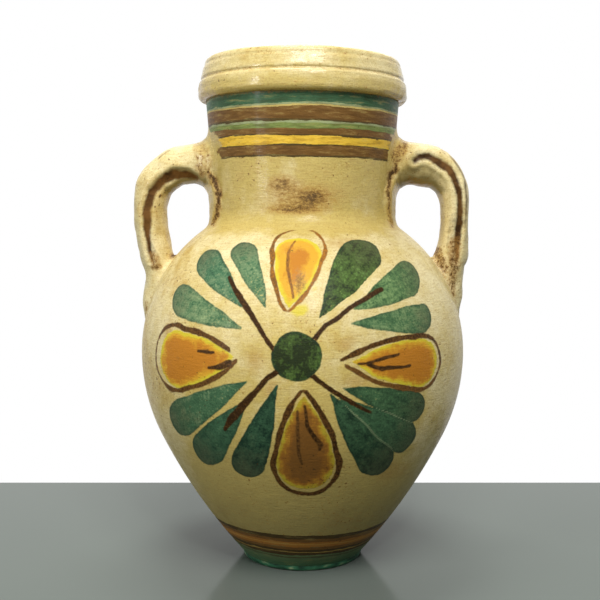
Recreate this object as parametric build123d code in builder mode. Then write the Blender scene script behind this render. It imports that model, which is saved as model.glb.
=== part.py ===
from build123d import *
import os
from math import cos, radians, sin, sqrt

# Two-handled earthenware jar, made of the clay pieces that a potter forms and lutes together with slip.
# Millimetres. +Z is up, the origin is the middle of the foot's underside, and the front faces -Y.

# Foot and floor
foot_radius = 49.0
foot_edge = 4.5
foot_chamfer = 1.0
floor_thickness = 10.0

# Bowl and shoulder, thrown as two sections that meet at the belly
hip_radius = 114.8
hip_height = 104.0
belly_radius = 129.8
belly_height = 169.0
shoulder_rise = 102.5
shoulder_ledge = 1.8
body_wall = 7.0
lap_height = 8.0

# Neck and the collar round the mouth
neck_base_radius = 71.0
neck_top_radius = 77.0
neck_height = 96.0
neck_waist = 0.6
neck_wall = 7.0
spigot_depth = 5.0
rim_height = 32.5
rim_overhang = 6.2
rim_taper = 2.6
rim_edge_round = 2.5
rim_socket = 8.0
lip_radius = 5.0
groove_radius = 1.0
groove_rises = (16.0, 26.0)

# Seam coils, round the neck's foot and inside at the belly and the floor
neck_coil = 8.0
neck_coil_hollow = 1.5
belly_coil_half = 7.0
belly_coil_thickness = 3.0
floor_coil = 9.0
floor_coil_hollow = 1.8

# Pads of clay on the neck, inside each handle's loop
pad_thickness = 3.4
pad_half_angle = 21.0
pad_tuck = 5.0

# Handles, pulled straps of oval section. Rises are above the neck's foot, or above the belly for the tail.
root_thickness = 37.0
root_width = 42.0
strap_width = 36.0
notch_rise = 62.0
notch_proud = 16.2
bulge_rise = 40.0
bulge_proud = 9.6
tail_rise = 28.0
tail_proud = 2.6
tail_thickness = 9.0
tail_thinning = 2.0
tail_width = 22.0
left_root_rise = 50.5
left_arch_radius = 31.0
left_inset = 6.0
left_thickness = 26.0
right_root_rise = 52.0
right_arch_radius = 23.0
right_inset = 7.6
right_thickness = 23.5

# Play between pieces that slide one into the other
slip_gap = 0.2

# Heights and radii that follow from the sizes above
crease_height = belly_height + shoulder_rise
rim_base = crease_height + neck_height
rim_top = rim_base + rim_height
shoulder_radius = neck_base_radius + shoulder_ledge
spigot_radius = neck_base_radius - neck_wall / 2
neck_bore = neck_base_radius - neck_wall
mouth_radius = neck_top_radius - neck_wall
rim_lower_radius = neck_top_radius + rim_overhang
rim_upper_radius = rim_lower_radius - rim_taper
tongue_radius = belly_radius - body_wall / 2

# The shoulder is one arc that leaves the belly upright
dome_inward = belly_radius - shoulder_radius
dome_curve = (dome_inward**2 + shoulder_rise**2) / (2 * dome_inward)
dome_centre = belly_radius - dome_curve


def dome_radius(height, depth=0.0):
    """Radius of the shoulder at a height, or of the surface that lies a depth inside it."""
    return dome_centre + sqrt((dome_curve - depth) ** 2 - (height - belly_height) ** 2)


def dome_height(radius, depth=0.0):
    """Height of the shoulder at a radius, or of the surface that lies a depth inside it."""
    return belly_height + sqrt((dome_curve - depth) ** 2 - (radius - dome_centre) ** 2)


def neck_radius(height):
    """Outer radius of the neck at a height, between its foot and the collar."""
    share = (height - crease_height) / neck_height
    flare = (neck_top_radius - neck_base_radius) * share
    return neck_base_radius + flare - 4 * neck_waist * share * (1 - share)


def rim_radius(height):
    """Outer radius of the collar at a height."""
    return rim_lower_radius - rim_taper * (height - rim_base) / rim_height


def upright_plane(bearing):
    """Plane through the jar's axis, with its own X pointing out at a bearing in degrees from +X."""
    turn = radians(bearing)
    return Plane(origin=(0, 0, 0), x_dir=(cos(turn), sin(turn), 0), z_dir=(sin(turn), -cos(turn), 0))


# Lower wall: two arcs from the belly to the foot, with the inside parallel to them, and a tongue at the top
with BuildPart() as lower_wall:
    with BuildSketch(Plane.XZ):
        with BuildLine():
            belly = Vector(belly_radius, belly_height)
            to_hip = TangentArc(belly, (hip_radius, hip_height), tangent=(0, -1))
            to_foot = TangentArc(to_hip @ 1, (foot_radius, foot_edge), tangent=to_hip % 1)
            into_hip = (to_hip % 1).rotate(Axis.Z, -90) * body_wall
            into_foot = (to_foot % 1).rotate(Axis.Z, -90) * body_wall
            foot_slant = (to_foot % 1).X / (to_foot % 1).Y
            inner_foot = to_foot @ 1 + into_foot
            floor_radius = inner_foot.X - (inner_foot.Y - foot_edge) * foot_slant
            under = Line(to_foot @ 1, (floor_radius, foot_edge))
            Line(under @ 1, inner_foot)
            inner_lower = TangentArc(inner_foot, to_hip @ 1 + into_hip, tangent=-(to_foot % 1))
            inner_belly = Vector(belly_radius - body_wall, belly_height)
            TangentArc(inner_lower @ 1, inner_belly, tangent=inner_lower % 1)
            tongue_top = belly_height + lap_height
            tongue_edge = Vector(dome_radius(tongue_top, body_wall), tongue_top)
            tongue_inside = TangentArc(inner_belly, tongue_edge, tangent=(0, 1))
            Polyline(tongue_inside @ 1, (tongue_radius, tongue_top), (tongue_radius, belly_height), belly)
        make_face()
    revolve(axis=Axis.Z)
lower_wall.part.label = "lower_wall"

# Upper wall: the domed shoulder, with a skirt that laps the tongue and a bore for the neck's spigot
with BuildPart() as upper_wall:
    with BuildSketch(Plane.XZ):
        with BuildLine():
            dome = TangentArc(belly, (shoulder_radius, crease_height), tangent=(0, 1))
            bore_radius = spigot_radius + slip_gap
            inner_top = Vector(bore_radius, dome_height(bore_radius, body_wall))
            Polyline(dome @ 1, (bore_radius, crease_height), inner_top)
            lap_inside = Vector(dome_radius(tongue_top, body_wall), tongue_top)
            slope = (inner_top - Vector(dome_centre, belly_height)).rotate(Axis.Z, -90)
            TangentArc(inner_top, lap_inside, tangent=slope)
            lap_radius = tongue_radius + slip_gap
            Polyline(lap_inside, (lap_radius, tongue_top), (lap_radius, belly_height), belly)
        make_face()
    revolve(axis=Axis.Z)
upper_wall.part.label = "upper_wall"

# Floor slab: the foot disc under the wall, with the floor standing up inside it
with BuildPart() as floor_slab:
    with BuildSketch():
        Circle(foot_radius)
    extrude(amount=foot_edge)
    with BuildSketch(Plane.XY.offset(foot_edge)):
        Circle(floor_radius - slip_gap)
    extrude(amount=floor_thickness - foot_edge)
    chamfer(floor_slab.edges().group_by(Axis.Z)[0], length=foot_chamfer)
floor_slab.part.label = "floor_slab"

# Neck: flaring tube with a spigot below and a plain end that fits the collar's socket above
with BuildPart() as neck:
    with BuildSketch(Plane.XZ):
        with BuildLine():
            neck_end = rim_base + rim_socket
            spigot_end = crease_height - spigot_depth
            outside = SagittaArc((neck_base_radius, crease_height), (neck_top_radius, rim_base), neck_waist)
            inside = SagittaArc((neck_bore, crease_height), (mouth_radius, rim_base), neck_waist)
            Polyline(outside @ 1, (neck_top_radius, neck_end), (mouth_radius, neck_end), inside @ 1)
            Polyline(
                outside @ 0,
                (spigot_radius, crease_height),
                (spigot_radius, spigot_end),
                (neck_bore, spigot_end),
                inside @ 0,
            )
        make_face()
    revolve(axis=Axis.Z)
neck.part.label = "neck"

# Rim collar: socketed on the neck, with a rounded lip, a rounded lower edge and turned grooves
with BuildPart() as rim_collar:
    with BuildSketch(Plane.XZ) as rim_section:
        with BuildLine():
            socket_radius = neck_top_radius + slip_gap
            Polyline(
                (socket_radius, rim_base),
                (rim_lower_radius, rim_base),
                (rim_upper_radius, rim_top),
                (mouth_radius, rim_top),
                (mouth_radius, rim_base + rim_socket),
                (socket_radius, rim_base + rim_socket),
                close=True,
            )
        make_face()
        lip_round = min(lip_radius, 0.48 * (rim_upper_radius - mouth_radius))
        fillet(rim_section.vertices().group_by(Axis.Y)[-1], radius=lip_round)
        fillet(rim_section.vertices().sort_by(Axis.X)[-1], radius=rim_edge_round)
        with Locations([(rim_radius(rim_base + rise), rim_base + rise) for rise in groove_rises]):
            Circle(groove_radius, mode=Mode.SUBTRACT)
    revolve(axis=Axis.Z)
rim_collar.part.label = "rim_collar"

# Solid shape of the jar's outside from belly to collar, used to cope the pieces that are luted onto it
with BuildPart() as outside_form:
    with BuildSketch(Plane.XZ):
        with BuildLine():
            shoulder_line = TangentArc(belly, (shoulder_radius, crease_height), tangent=(0, 1))
            ledge = Line(shoulder_line @ 1, (neck_base_radius, crease_height))
            neck_line = SagittaArc(ledge @ 1, (neck_top_radius, rim_base), neck_waist)
            to_lower = TangentArc(belly, (hip_radius, hip_height), tangent=(0, -1))
            Polyline(neck_line @ 1, (0, rim_base), (0, hip_height), to_lower @ 1)
        make_face()
    revolve(axis=Axis.Z)

# Neck seam coil: a hollow-faced fillet of clay in the crease between shoulder and neck
with BuildPart() as neck_seam_coil:
    with BuildSketch(Plane.XZ):
        with BuildLine():
            coil_toe = Vector(neck_base_radius + neck_coil, dome_height(neck_base_radius + neck_coil))
            coil_head = Vector(neck_radius(crease_height + neck_coil), crease_height + neck_coil)
            face = SagittaArc(coil_toe, coil_head, -neck_coil_hollow)
            Polyline(face @ 1, (spigot_radius, coil_head.Y), (spigot_radius, coil_toe.Y), face @ 0)
        make_face()
    revolve(axis=Axis.Z)
    add(outside_form.part, mode=Mode.SUBTRACT)
neck_seam_coil.part.label = "neck_seam_coil"

# Belly seam coil: a flat bead smoothed over the joint inside the belly, at the top of the tongue
with BuildPart() as belly_seam_coil:
    with BuildSketch(Plane.XZ):
        with BuildLine():
            coil_depth = body_wall + slip_gap
            coil_low = tongue_top - belly_coil_half
            coil_high = tongue_top + belly_coil_half
            back = ThreePointArc(
                (dome_radius(coil_low, coil_depth), coil_low),
                (dome_radius(tongue_top, coil_depth), tongue_top),
                (dome_radius(coil_high, coil_depth), coil_high),
            )
            bead_top = dome_radius(tongue_top, coil_depth + belly_coil_thickness)
            ThreePointArc(back @ 1, (bead_top, tongue_top), back @ 0)
        make_face()
    revolve(axis=Axis.Z)
belly_seam_coil.part.label = "belly_seam_coil"

# Floor seam coil: fills the corner between floor and wall, with a hollow face
with BuildPart() as floor_seam_coil:
    with BuildSketch(Plane.XZ):
        with BuildLine():
            wall_reach = floor_radius + foot_slant * (floor_thickness + floor_coil - foot_edge)
            floor_toe = Vector(floor_radius - floor_coil, floor_thickness)
            wall_head = Vector(wall_reach, floor_thickness + floor_coil)
            face = SagittaArc(floor_toe, wall_head, -floor_coil_hollow)
            backing = body_wall / 2
            Polyline(
                face @ 1,
                (wall_head.X + backing, wall_head.Y),
                (floor_radius + backing, foot_edge),
                (floor_toe.X, foot_edge),
                face @ 0,
            )
        make_face()
    revolve(axis=Axis.Z)
    add(lower_wall.part, mode=Mode.SUBTRACT)
    add(floor_slab.part, mode=Mode.SUBTRACT)
floor_seam_coil.part.label = "floor_seam_coil"


def pulled_handle(root_rise, arch_radius, inset, thickness):
    """A strap handle on the +X side: a root that flares, an arch and a run that ends as a tail."""
    root_height = crease_height + root_rise
    root_reach = neck_radius(root_height) - neck_wall / 2
    run_reach = belly_radius - inset
    arch_reach = run_reach - arch_radius
    spring_height = root_height - arch_radius
    tail_depth = thickness - tail_thinning
    run_sections = [(run_reach, spring_height, thickness, strap_width)]
    for rise, proud, depth, width in (
        (notch_rise, notch_proud, thickness, strap_width),
        (bulge_rise, bulge_proud, tail_depth, strap_width),
        (tail_rise, tail_proud, tail_thickness, tail_width),
    ):
        height = belly_height + rise
        run_sections.append((dome_radius(height) + proud - depth / 2, height, depth, width))
    with BuildPart() as strap:
        arch_start = Plane(origin=(arch_reach, 0, root_height), x_dir=(0, 1, 0), z_dir=(1, 0, 0))
        with BuildSketch(arch_start):
            Ellipse(strap_width / 2, thickness / 2)
        revolve(axis=Axis((arch_reach, 0, spring_height), (0, 1, 0)), revolution_arc=90)
        with BuildSketch(arch_start.offset(root_reach - arch_reach)):
            Ellipse(root_width / 2, root_thickness / 2)
        with BuildSketch(arch_start):
            Ellipse(strap_width / 2, thickness / 2)
        loft()
        for reach, height, depth, width in run_sections:
            with BuildSketch(Plane(origin=(reach, 0, height), x_dir=(0, 1, 0), z_dir=(0, 0, -1))):
                Ellipse(width / 2, depth / 2)
        loft(ruled=True)
        add(outside_form.part, mode=Mode.SUBTRACT)
        add(neck_seam_coil.part, mode=Mode.SUBTRACT)
    return strap


def neck_pad(root_rise, strap):
    """A band of clay down the neck on the +X side, under a handle's root."""
    pad_low = crease_height
    pad_high = crease_height + root_rise - root_thickness / 2 + pad_tuck
    pad_middle = (pad_low + pad_high) / 2
    with BuildPart() as pad:
        with BuildSketch(upright_plane(-pad_half_angle)):
            with BuildLine():
                heights = (pad_low, pad_middle, pad_high)
                back = ThreePointArc([(neck_radius(height) + slip_gap, height) for height in heights])
                low_out = Vector(neck_radius(pad_low) + pad_thickness, pad_low)
                high_out = Vector(neck_radius(pad_high) + pad_thickness, pad_high)
                Polyline(back @ 1, high_out, low_out, back @ 0)
            make_face()
        revolve(axis=Axis.Z, revolution_arc=2 * pad_half_angle)
        add(neck_seam_coil.part, mode=Mode.SUBTRACT)
        add(strap.part, mode=Mode.SUBTRACT)
    return pad


def other_side(piece):
    """The same piece on the -X side."""
    with BuildPart() as mirrored:
        add(piece.part)
        mirror(about=Plane.YZ, mode=Mode.REPLACE)
    return mirrored


right_handle = pulled_handle(right_root_rise, right_arch_radius, right_inset, right_thickness)
right_handle.part.label = "right_handle"
right_neck_pad = neck_pad(right_root_rise, right_handle)
right_neck_pad.part.label = "right_neck_pad"
left_strap = pulled_handle(left_root_rise, left_arch_radius, left_inset, left_thickness)
left_handle = other_side(left_strap)
left_handle.part.label = "left_handle"
left_neck_pad = other_side(neck_pad(left_root_rise, left_strap))
left_neck_pad.part.label = "left_neck_pad"

os.makedirs("parts", exist_ok=True)
for piece in (
    floor_slab,
    lower_wall,
    upper_wall,
    neck,
    rim_collar,
    left_handle,
    right_handle,
    left_neck_pad,
    right_neck_pad,
    neck_seam_coil,
    belly_seam_coil,
    floor_seam_coil,
):
    export_step(piece.part, f"parts/{piece.part.label}.step")
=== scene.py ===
"""Looks of a two-handled earthenware jar with a painted rosette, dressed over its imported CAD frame.

The walls are thrown forms made by one Geometry Nodes tree, the handles and pads are modelled as pulled clay,
and the brushwork is laid out in millimetres round and up the wall. Lengths in the code are millimetres.
"""

import math

import bpy
import numpy as np
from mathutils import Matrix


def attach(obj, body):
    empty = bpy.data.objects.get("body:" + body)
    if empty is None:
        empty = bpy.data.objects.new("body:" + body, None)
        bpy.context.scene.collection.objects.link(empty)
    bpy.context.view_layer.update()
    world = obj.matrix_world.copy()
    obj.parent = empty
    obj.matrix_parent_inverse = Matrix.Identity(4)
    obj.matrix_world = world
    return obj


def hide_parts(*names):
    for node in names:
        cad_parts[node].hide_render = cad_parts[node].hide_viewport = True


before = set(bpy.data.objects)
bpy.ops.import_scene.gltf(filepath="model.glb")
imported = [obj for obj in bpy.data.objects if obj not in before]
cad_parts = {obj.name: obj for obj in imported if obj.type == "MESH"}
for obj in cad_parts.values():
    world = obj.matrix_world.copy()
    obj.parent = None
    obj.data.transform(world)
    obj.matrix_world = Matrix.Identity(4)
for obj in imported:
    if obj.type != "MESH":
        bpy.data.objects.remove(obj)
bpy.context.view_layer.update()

bl_info = {
    "name": "Painted two-handled jar",
    "version": (1, 0, 0),
    "blender": (4, 5, 0),
    "location": "View3D > Sidebar > Jar",
    "description": "Dresses the jar's CAD frame with thrown walls, pulled handles and painted glaze",
    "category": "Object",
}

MM = 0.001
# How far a painted edge's mark reaches, and a distance past every mark, in millimetres.
EDGE_REACH = 8.0
FAR = 1e3
# Gap for slip between neighbouring clay pieces, and how deep the neck's spigot goes into the shoulder.
SLIP_GAP = 0.2
SPIGOT = 5.0


def linear(code):
    """Linear red, green and blue of an sRGB hex colour."""
    parts = [int(code[i : i + 2], 16) / 255 for i in (1, 3, 5)]
    return tuple(c / 12.92 if c <= 0.04045 else ((c + 0.055) / 1.055) ** 2.4 for c in parts)


def length(label, text, default):
    """A size in metres for the sidebar, given in millimetres."""
    return bpy.props.FloatProperty(
        name=label, description=text, default=default * MM, min=0.0, unit="LENGTH", precision=4
    )


def colour(label, text, code):
    """A colour for the sidebar, given as sRGB hex."""
    return bpy.props.FloatVectorProperty(
        name=label, description=text, default=linear(code), size=3, min=0.0, max=1.0, subtype="COLOR"
    )


class JarSizes(bpy.types.PropertyGroup):
    """Sizes of the jar, as in its CAD source."""

    foot_radius: length("Foot radius", "Radius of the foot disc", 49.0)
    foot_edge: length("Foot edge", "Height of the foot disc's edge under the wall", 4.5)
    floor_top: length("Floor thickness", "Height of the floor inside the jar", 10.0)
    floor_radius: length("Floor radius", "Radius of the floor inside the wall", 39.6)
    hip_radius: length("Hip radius", "Radius where the bowl's two curves meet", 114.8)
    hip_height: length("Hip height", "Height where the bowl's two curves meet", 104.0)
    belly_radius: length("Belly radius", "Largest radius of the jar", 129.8)
    belly_height: length("Belly height", "Height of the largest radius", 169.0)
    shoulder_rise: length("Shoulder rise", "Height from the belly to the neck's foot", 102.5)
    shoulder_radius: length("Shoulder radius", "Radius of the shoulder at the neck's foot", 72.8)
    body_wall: length("Body wall", "Thickness of the thrown walls", 7.0)
    lap_height: length("Lap height", "Height of the lap at the belly joint", 8.0)
    neck_base_radius: length("Neck base radius", "Outer radius of the neck at its foot", 71.0)
    neck_top_radius: length("Neck top radius", "Outer radius of the neck under the collar", 77.0)
    neck_height: length("Neck height", "Height of the neck between shoulder and collar", 96.0)
    neck_waist: length("Neck waist", "How far the neck draws in at half height", 0.6)
    neck_wall: length("Neck wall", "Thickness of the neck", 7.0)
    neck_fillet: length("Neck fillet", "Reach of the soft fillet at the neck's foot", 10.0)
    rim_height: length("Collar height", "Height of the collar round the mouth", 32.5)
    rim_overhang: length("Collar overhang", "How far the collar stands out from the neck", 6.2)
    rim_taper: length("Collar taper", "How much the collar narrows towards the lip", 2.6)
    rim_socket: length("Collar socket", "How deep the neck goes into the collar", 8.0)
    lip_height: length("Lip height", "Height of the rounded lip", 5.0)
    groove_rise: length("Groove rise", "Height of the turned groove above the collar's foot", 16.0)
    line_rise: length("Upper line rise", "Height of the incised line above the collar's foot", 27.0)
    groove_depth: length("Groove depth", "Depth of the turned groove", 1.5)
    pad_thickness: length("Pad thickness", "Thickness of the clay band on the neck", 3.6)
    wobble: length("Wobble", "How far the thrown walls run out of true", 0.5)
    ring_depth: length("Ring depth", "Depth of the throwing rings", 0.05)
    ring_pitch: length("Ring pitch", "Spacing of the throwing rings", 8.0)


class JarColours(bpy.types.PropertyGroup):
    """Colours of the glazes, the painted ornament and the floor."""

    cream: colour("Cream", "Slip glaze where it is thick", "#f7e8b4")
    # Straw also serves as painted shade low on the bowl, at the neck's foot and on the collar's lower band.
    straw: colour("Straw", "Slip glaze where it is thin", "#dac271")
    honey: colour("Honey", "Warm brush marks in the glaze", "#b4914a")
    tan: colour("Tan", "Old stains in the glaze", "#b5843f")
    leaf_dark: colour("Leaf shade", "Leaf paint where it is thick", "#20382a")
    leaf: colour("Leaf", "Leaf paint", "#4c7453")
    leaf_light: colour("Leaf light", "Leaf paint where it is thin", "#a4b486")
    hub_dark: colour("Hub shade", "Yellower green of the hub where it is thick", "#2b331a")
    hub: colour("Hub", "Yellower green of the hub and some leaves", "#546b2f")
    hub_light: colour("Hub light", "Yellower green where it is thin", "#7bac52")
    grey_green: colour("Leaf head", "Greyed heads of the leaves", "#57563d")
    yellow: colour("Lemon", "Rim of the petals", "#e0cc3c")
    gold: colour("Gold", "Petals between rim and core", "#e3ac35")
    orange: colour("Orange", "Core of the petals", "#c9832a")
    brown: colour("Brown", "Brushed outlines, stems and bands", "#38240f")
    worn_brown: colour("Worn brown", "Brown brushwork where it is thin", "#7a5428")
    band_green: colour("Band green", "Green bands under the collar and at the foot", "#396e50")
    band_yellow: colour("Band yellow", "Golden band on the neck", "#ffd147")
    pale_green: colour("Pale green", "Narrow green band on the neck", "#809450")
    ochre: colour("Foot ochre", "Broad band above the foot", "#ae7332")
    # Grime is also the darkest painted shade under the collar and under the right handle's arch.
    grime: colour("Grime", "Dirt in creases", "#4a341d")
    # Painted shade: darkens the slip low on the bowl and under the handles' arches.
    painted_shade: colour("Film", "Dull film over the lower bowl", "#877c50")
    clay: colour("Bare clay", "Unglazed fired clay", "#b3825c")
    table: colour("Floor", "Polished floor under the jar", "#727a73")
    table_shade: colour("Floor shade", "The floor as it lights the jar from below", "#5c625c")


class JarForm:
    """The jar's lines, in millimetres, worked out from its named sizes."""

    def __init__(self, sizes):
        for key in JarSizes.__annotations__:
            setattr(self, key, getattr(sizes, key) / MM)
        self.crease = self.belly_height + self.shoulder_rise
        self.rim_base = self.crease + self.neck_height
        self.rim_top = self.rim_base + self.rim_height
        belly = np.array((self.belly_radius, self.belly_height))
        hip = np.array((self.hip_radius, self.hip_height))
        foot = np.array((self.foot_radius, self.foot_edge))
        drop = belly - hip
        hip_curve = drop @ drop / (2 * drop[0])
        hip_centre = belly - (hip_curve, 0)
        inward = (hip_centre - hip) / hip_curve
        fall = hip - foot
        foot_curve = -(fall @ fall) / (2 * fall @ inward)
        dome_inward = self.belly_radius - self.shoulder_radius
        dome_curve = (dome_inward**2 + self.shoulder_rise**2) / (2 * dome_inward)
        foot_centre = hip + inward * foot_curve
        dome_centre = belly - (dome_curve, 0)
        joins = (foot, hip, belly, np.array((self.shoulder_radius, self.crease)))
        arcs = ((foot_centre, foot_curve), (hip_centre, hip_curve), (dome_centre, dome_curve))
        self.arcs = []
        climb = 0.0
        for (centre, curve), low, high in zip(arcs, joins, joins[1:]):
            start, stop = (math.atan2(*(p - centre)[::-1]) for p in (low, high))
            self.arcs.append((climb, start, centre, curve))
            climb += curve * (stop - start)
        self.wall_top = climb
        self.belly_climb = self.arcs[2][0]
        self.table_climb = np.linspace(0, climb, 3000)
        self.table_radius, self.table_height = self.wall_line(self.table_climb)

    def wall_line(self, climb, depth=0.0):
        """Radius and height of the wall at distances up its outside, or of the surface a depth inside it."""
        radius, height = np.zeros_like(climb), np.zeros_like(climb)
        for begin, start, centre, curve in self.arcs:
            here = climb >= begin - 1e-9
            angle = start + (climb - begin) / curve
            radius = np.where(here, centre[0] + (curve - depth) * np.cos(angle), radius)
            height = np.where(here, centre[1] + (curve - depth) * np.sin(angle), height)
        return radius, height

    def climb(self, height):
        """Distance up the outside of the wall at a height."""
        return np.interp(height, self.table_height, self.table_climb)

    def neck_radius(self, height):
        """Outer radius of the neck at a height."""
        share = (height - self.crease) / self.neck_height
        flare = (self.neck_top_radius - self.neck_base_radius) * share
        return self.neck_base_radius + flare - 4 * self.neck_waist * share * (1 - share)

    def outer_radius(self, height):
        """Outer radius of the jar below the collar at a height."""
        wall = np.interp(height, self.table_height, self.table_radius)
        return np.where(height < self.crease, wall, self.neck_radius(height))

    def body_gap(self, radius, height):
        """Distance outside the shoulder and the neck, with the soft fillet between them."""
        centre, curve = self.arcs[2][2:]
        dome = np.hypot(radius - centre[0], height - centre[1]) - curve
        return soft_min(radius - self.neck_radius(height), dome, self.neck_fillet)

    def filleted_radius(self, height):
        """Outer radius of the shoulder and the neck at a height, with the soft fillet between them."""
        radius = self.outer_radius(height)
        for _ in range(20):
            radius = radius - 0.9 * self.body_gap(radius, height)
        return radius


def soft_min(a, b, reach):
    """The lesser of two distances, with the corner between them filled as a thumb fills clay."""
    return np.minimum(a, b) - np.clip(reach - np.abs(a - b), 0, None) ** 2 / (4 * reach)


def feathered(rise, depth=0.05):
    """How far a smoothed edge is sunk, so that clay that hardly rises over another piece stays hidden."""
    return depth * (1 - eased(np.clip(rise / (3 * depth), 0, 1)))


def waver(points, size, seed):
    """A soft wave from about -1 to 1 over points in millimetres, the same at every run."""
    rng = np.random.default_rng(seed)
    total = np.zeros(len(points))
    for _ in range(5):
        way = rng.normal(size=points.shape[1])
        way *= 2 * math.pi / (size * rng.uniform(0.7, 1.5) * np.linalg.norm(way))
        total += np.sin(points @ way + rng.uniform(0, 2 * math.pi))
    return total / 3


def by_hand(flat, reach, size, *seeds):
    """Flat points moved a little both ways, as an unsteady hand would draw them."""
    return flat + reach * np.column_stack([waver(flat, size, seed) for seed in seeds])


def add(tree, kind, inputs=(), out=0, **settings):
    """Adds one node, sets or links its inputs, given in order or by name, and returns one of its outputs.

    A kind without the word Node is a shader node, and a colour may leave out its alpha.
    """
    node = tree.nodes.new(kind if "Node" in kind else "ShaderNode" + kind)
    for key, value in settings.items():
        setattr(node, key, value)
    for key, value in inputs.items() if isinstance(inputs, dict) else enumerate(inputs):
        socket = node.inputs[key]
        if isinstance(value, bpy.types.NodeSocket):
            tree.links.new(value, socket)
        else:
            socket.default_value = (*value[:3], 1.0) if socket.type == "RGBA" else value
    return node.outputs[out] if node.outputs else None


def weighed(tree, base, *parts):
    """Adds values to a base, each times its weight."""
    for value, weight in parts:
        base = add(tree, "Math", (value, weight, base), operation="MULTIPLY_ADD")
    return base


def thrown_tree():
    """Geometry Nodes tree that turns a half section, given as a line of points, into a thrown form."""
    name = "Thrown form"
    if name in bpy.data.node_groups:
        return bpy.data.node_groups[name]
    tree = bpy.data.node_groups.new(name, "GeometryNodeTree")
    sockets = (
        ("Section", "NodeSocketGeometry", None),
        ("Columns", "NodeSocketInt", 240),
        ("Crowding", "NodeSocketFloat", 0.0),
        ("Wobble", "NodeSocketFloat", 0.0005),
        ("Wobble size", "NodeSocketFloat", 0.09),
        ("Ring depth", "NodeSocketFloat", 0.0001),
        ("Ring pitch", "NodeSocketFloat", 0.008),
        ("Seed", "NodeSocketFloat", 4.0),
        ("Clay", "NodeSocketMaterial", None),
    )
    for label, kind, default in sockets:
        socket = tree.interface.new_socket(name=label, in_out="INPUT", socket_type=kind)
        if default is not None:
            socket.default_value = default
    tree.interface.new_socket(name="Form", in_out="OUTPUT", socket_type="NodeSocketGeometry")
    given = add(tree, "NodeGroupInput").node.outputs
    rows = add(tree, "GeometryNodeAttributeDomainSize", (given["Section"],), component="MESH")
    across = add(tree, "Math", (given["Columns"], 1.0), operation="ADD")
    grid = add(tree, "GeometryNodeMeshGrid", {"Vertices X": across, "Vertices Y": rows}, out="Mesh")
    index = add(tree, "GeometryNodeInputIndex")
    turn = add(tree, "Math", (index, rows), operation="DIVIDE")
    column = add(tree, "Math", (turn,), operation="FLOOR")
    row = add(tree, "Math", (index, rows), operation="MODULO")
    position = add(tree, "GeometryNodeInputPosition")
    sample = add(
        tree,
        "GeometryNodeSampleIndex",
        {"Geometry": given["Section"], "Value": position, "Index": row},
        data_type="FLOAT_VECTOR",
        domain="POINT",
    )
    point = add(tree, "SeparateXYZ", (sample,)).node.outputs
    share = add(tree, "Math", (column, given["Columns"]), operation="DIVIDE")
    swing = weighed(tree, -1.0, (share, 2.0))
    even = add(tree, "Math", (1.0, given["Crowding"]), operation="SUBTRACT")
    cube = add(tree, "Math", (swing, 3.0), operation="POWER")
    crowded = add(tree, "Math", (cube, given["Crowding"]), operation="MULTIPLY")
    spread = weighed(tree, crowded, (swing, even))
    angle = add(tree, "Math", (spread, math.pi), operation="MULTIPLY")
    sine = add(tree, "Math", (angle,), operation="SINE")
    cosine = add(tree, "Math", (angle,), operation="COSINE")
    facing = add(tree, "Math", (cosine, -1.0), operation="MULTIPLY")
    x, y = (add(tree, "Math", (point[0], way), operation="MULTIPLY") for way in (sine, facing))
    true_place = add(tree, "CombineXYZ", (x, y, point[2]))
    fineness = add(tree, "Math", (1.0, given["Wobble size"]), operation="DIVIDE")
    noise = add(
        tree,
        "TexNoise",
        {"Vector": true_place, "W": given["Seed"], "Scale": fineness, "Detail": 2.0},
        noise_dimensions="4D",
    )
    lean = add(tree, "Math", (noise, 0.5), operation="SUBTRACT")
    sway = add(tree, "Math", (lean, given["Wobble"]), operation="MULTIPLY")
    climb = add(tree, "Math", (point[2], given["Ring pitch"]), operation="DIVIDE")
    drift = weighed(tree, climb, (noise, 2.0))
    phase = add(tree, "Math", (drift, 2 * math.pi), operation="MULTIPLY")
    wave = add(tree, "Math", (phase,), operation="SINE")
    ring = weighed(tree, sway, (wave, given["Ring depth"]))
    off_axis = add(tree, "Math", (point[0], 40.0), operation="MULTIPLY", use_clamp=True)
    swell = weighed(tree, point[0], (ring, off_axis))
    x, y = (add(tree, "Math", (swell, way), operation="MULTIPLY") for way in (sine, facing))
    place = add(tree, "CombineXYZ", (x, y, point[2]))
    form = add(tree, "GeometryNodeSetPosition", {"Geometry": grid, "Position": place})
    closed = add(tree, "GeometryNodeMergeByDistance", {"Geometry": form, "Distance": 0.00002})
    smooth = add(tree, "GeometryNodeSetShadeSmooth", {"Geometry": closed})
    fold = add(tree, "GeometryNodeInputMeshEdgeAngle")
    corner = add(tree, "FunctionNodeCompare", (fold, 0.7), operation="GREATER_THAN")
    crisp = add(
        tree,
        "GeometryNodeSetShadeSmooth",
        {"Geometry": smooth, "Selection": corner, "Shade Smooth": False},
        domain="EDGE",
    )
    real = add(tree, "GeometryNodeRealizeInstances", {"Geometry": crisp})
    dressed = add(tree, "GeometryNodeSetMaterial", {"Geometry": real, "Material": given["Clay"]})
    add(tree, "NodeGroupOutput", {"Form": dressed})
    return tree


def link_piece(name, mesh):
    """Puts a mesh into the scene as an object at the origin."""
    piece = bpy.data.objects.new(name, mesh)
    bpy.context.scene.collection.objects.link(piece)
    return piece


def settle(piece, node):
    """Fixes a finished piece to the jar's body, in place of its CAD node."""
    if len(piece.data.polygons) == 0:
        raise RuntimeError(f"{piece.name} came out empty")
    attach(piece, "root")
    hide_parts(node)


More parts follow.
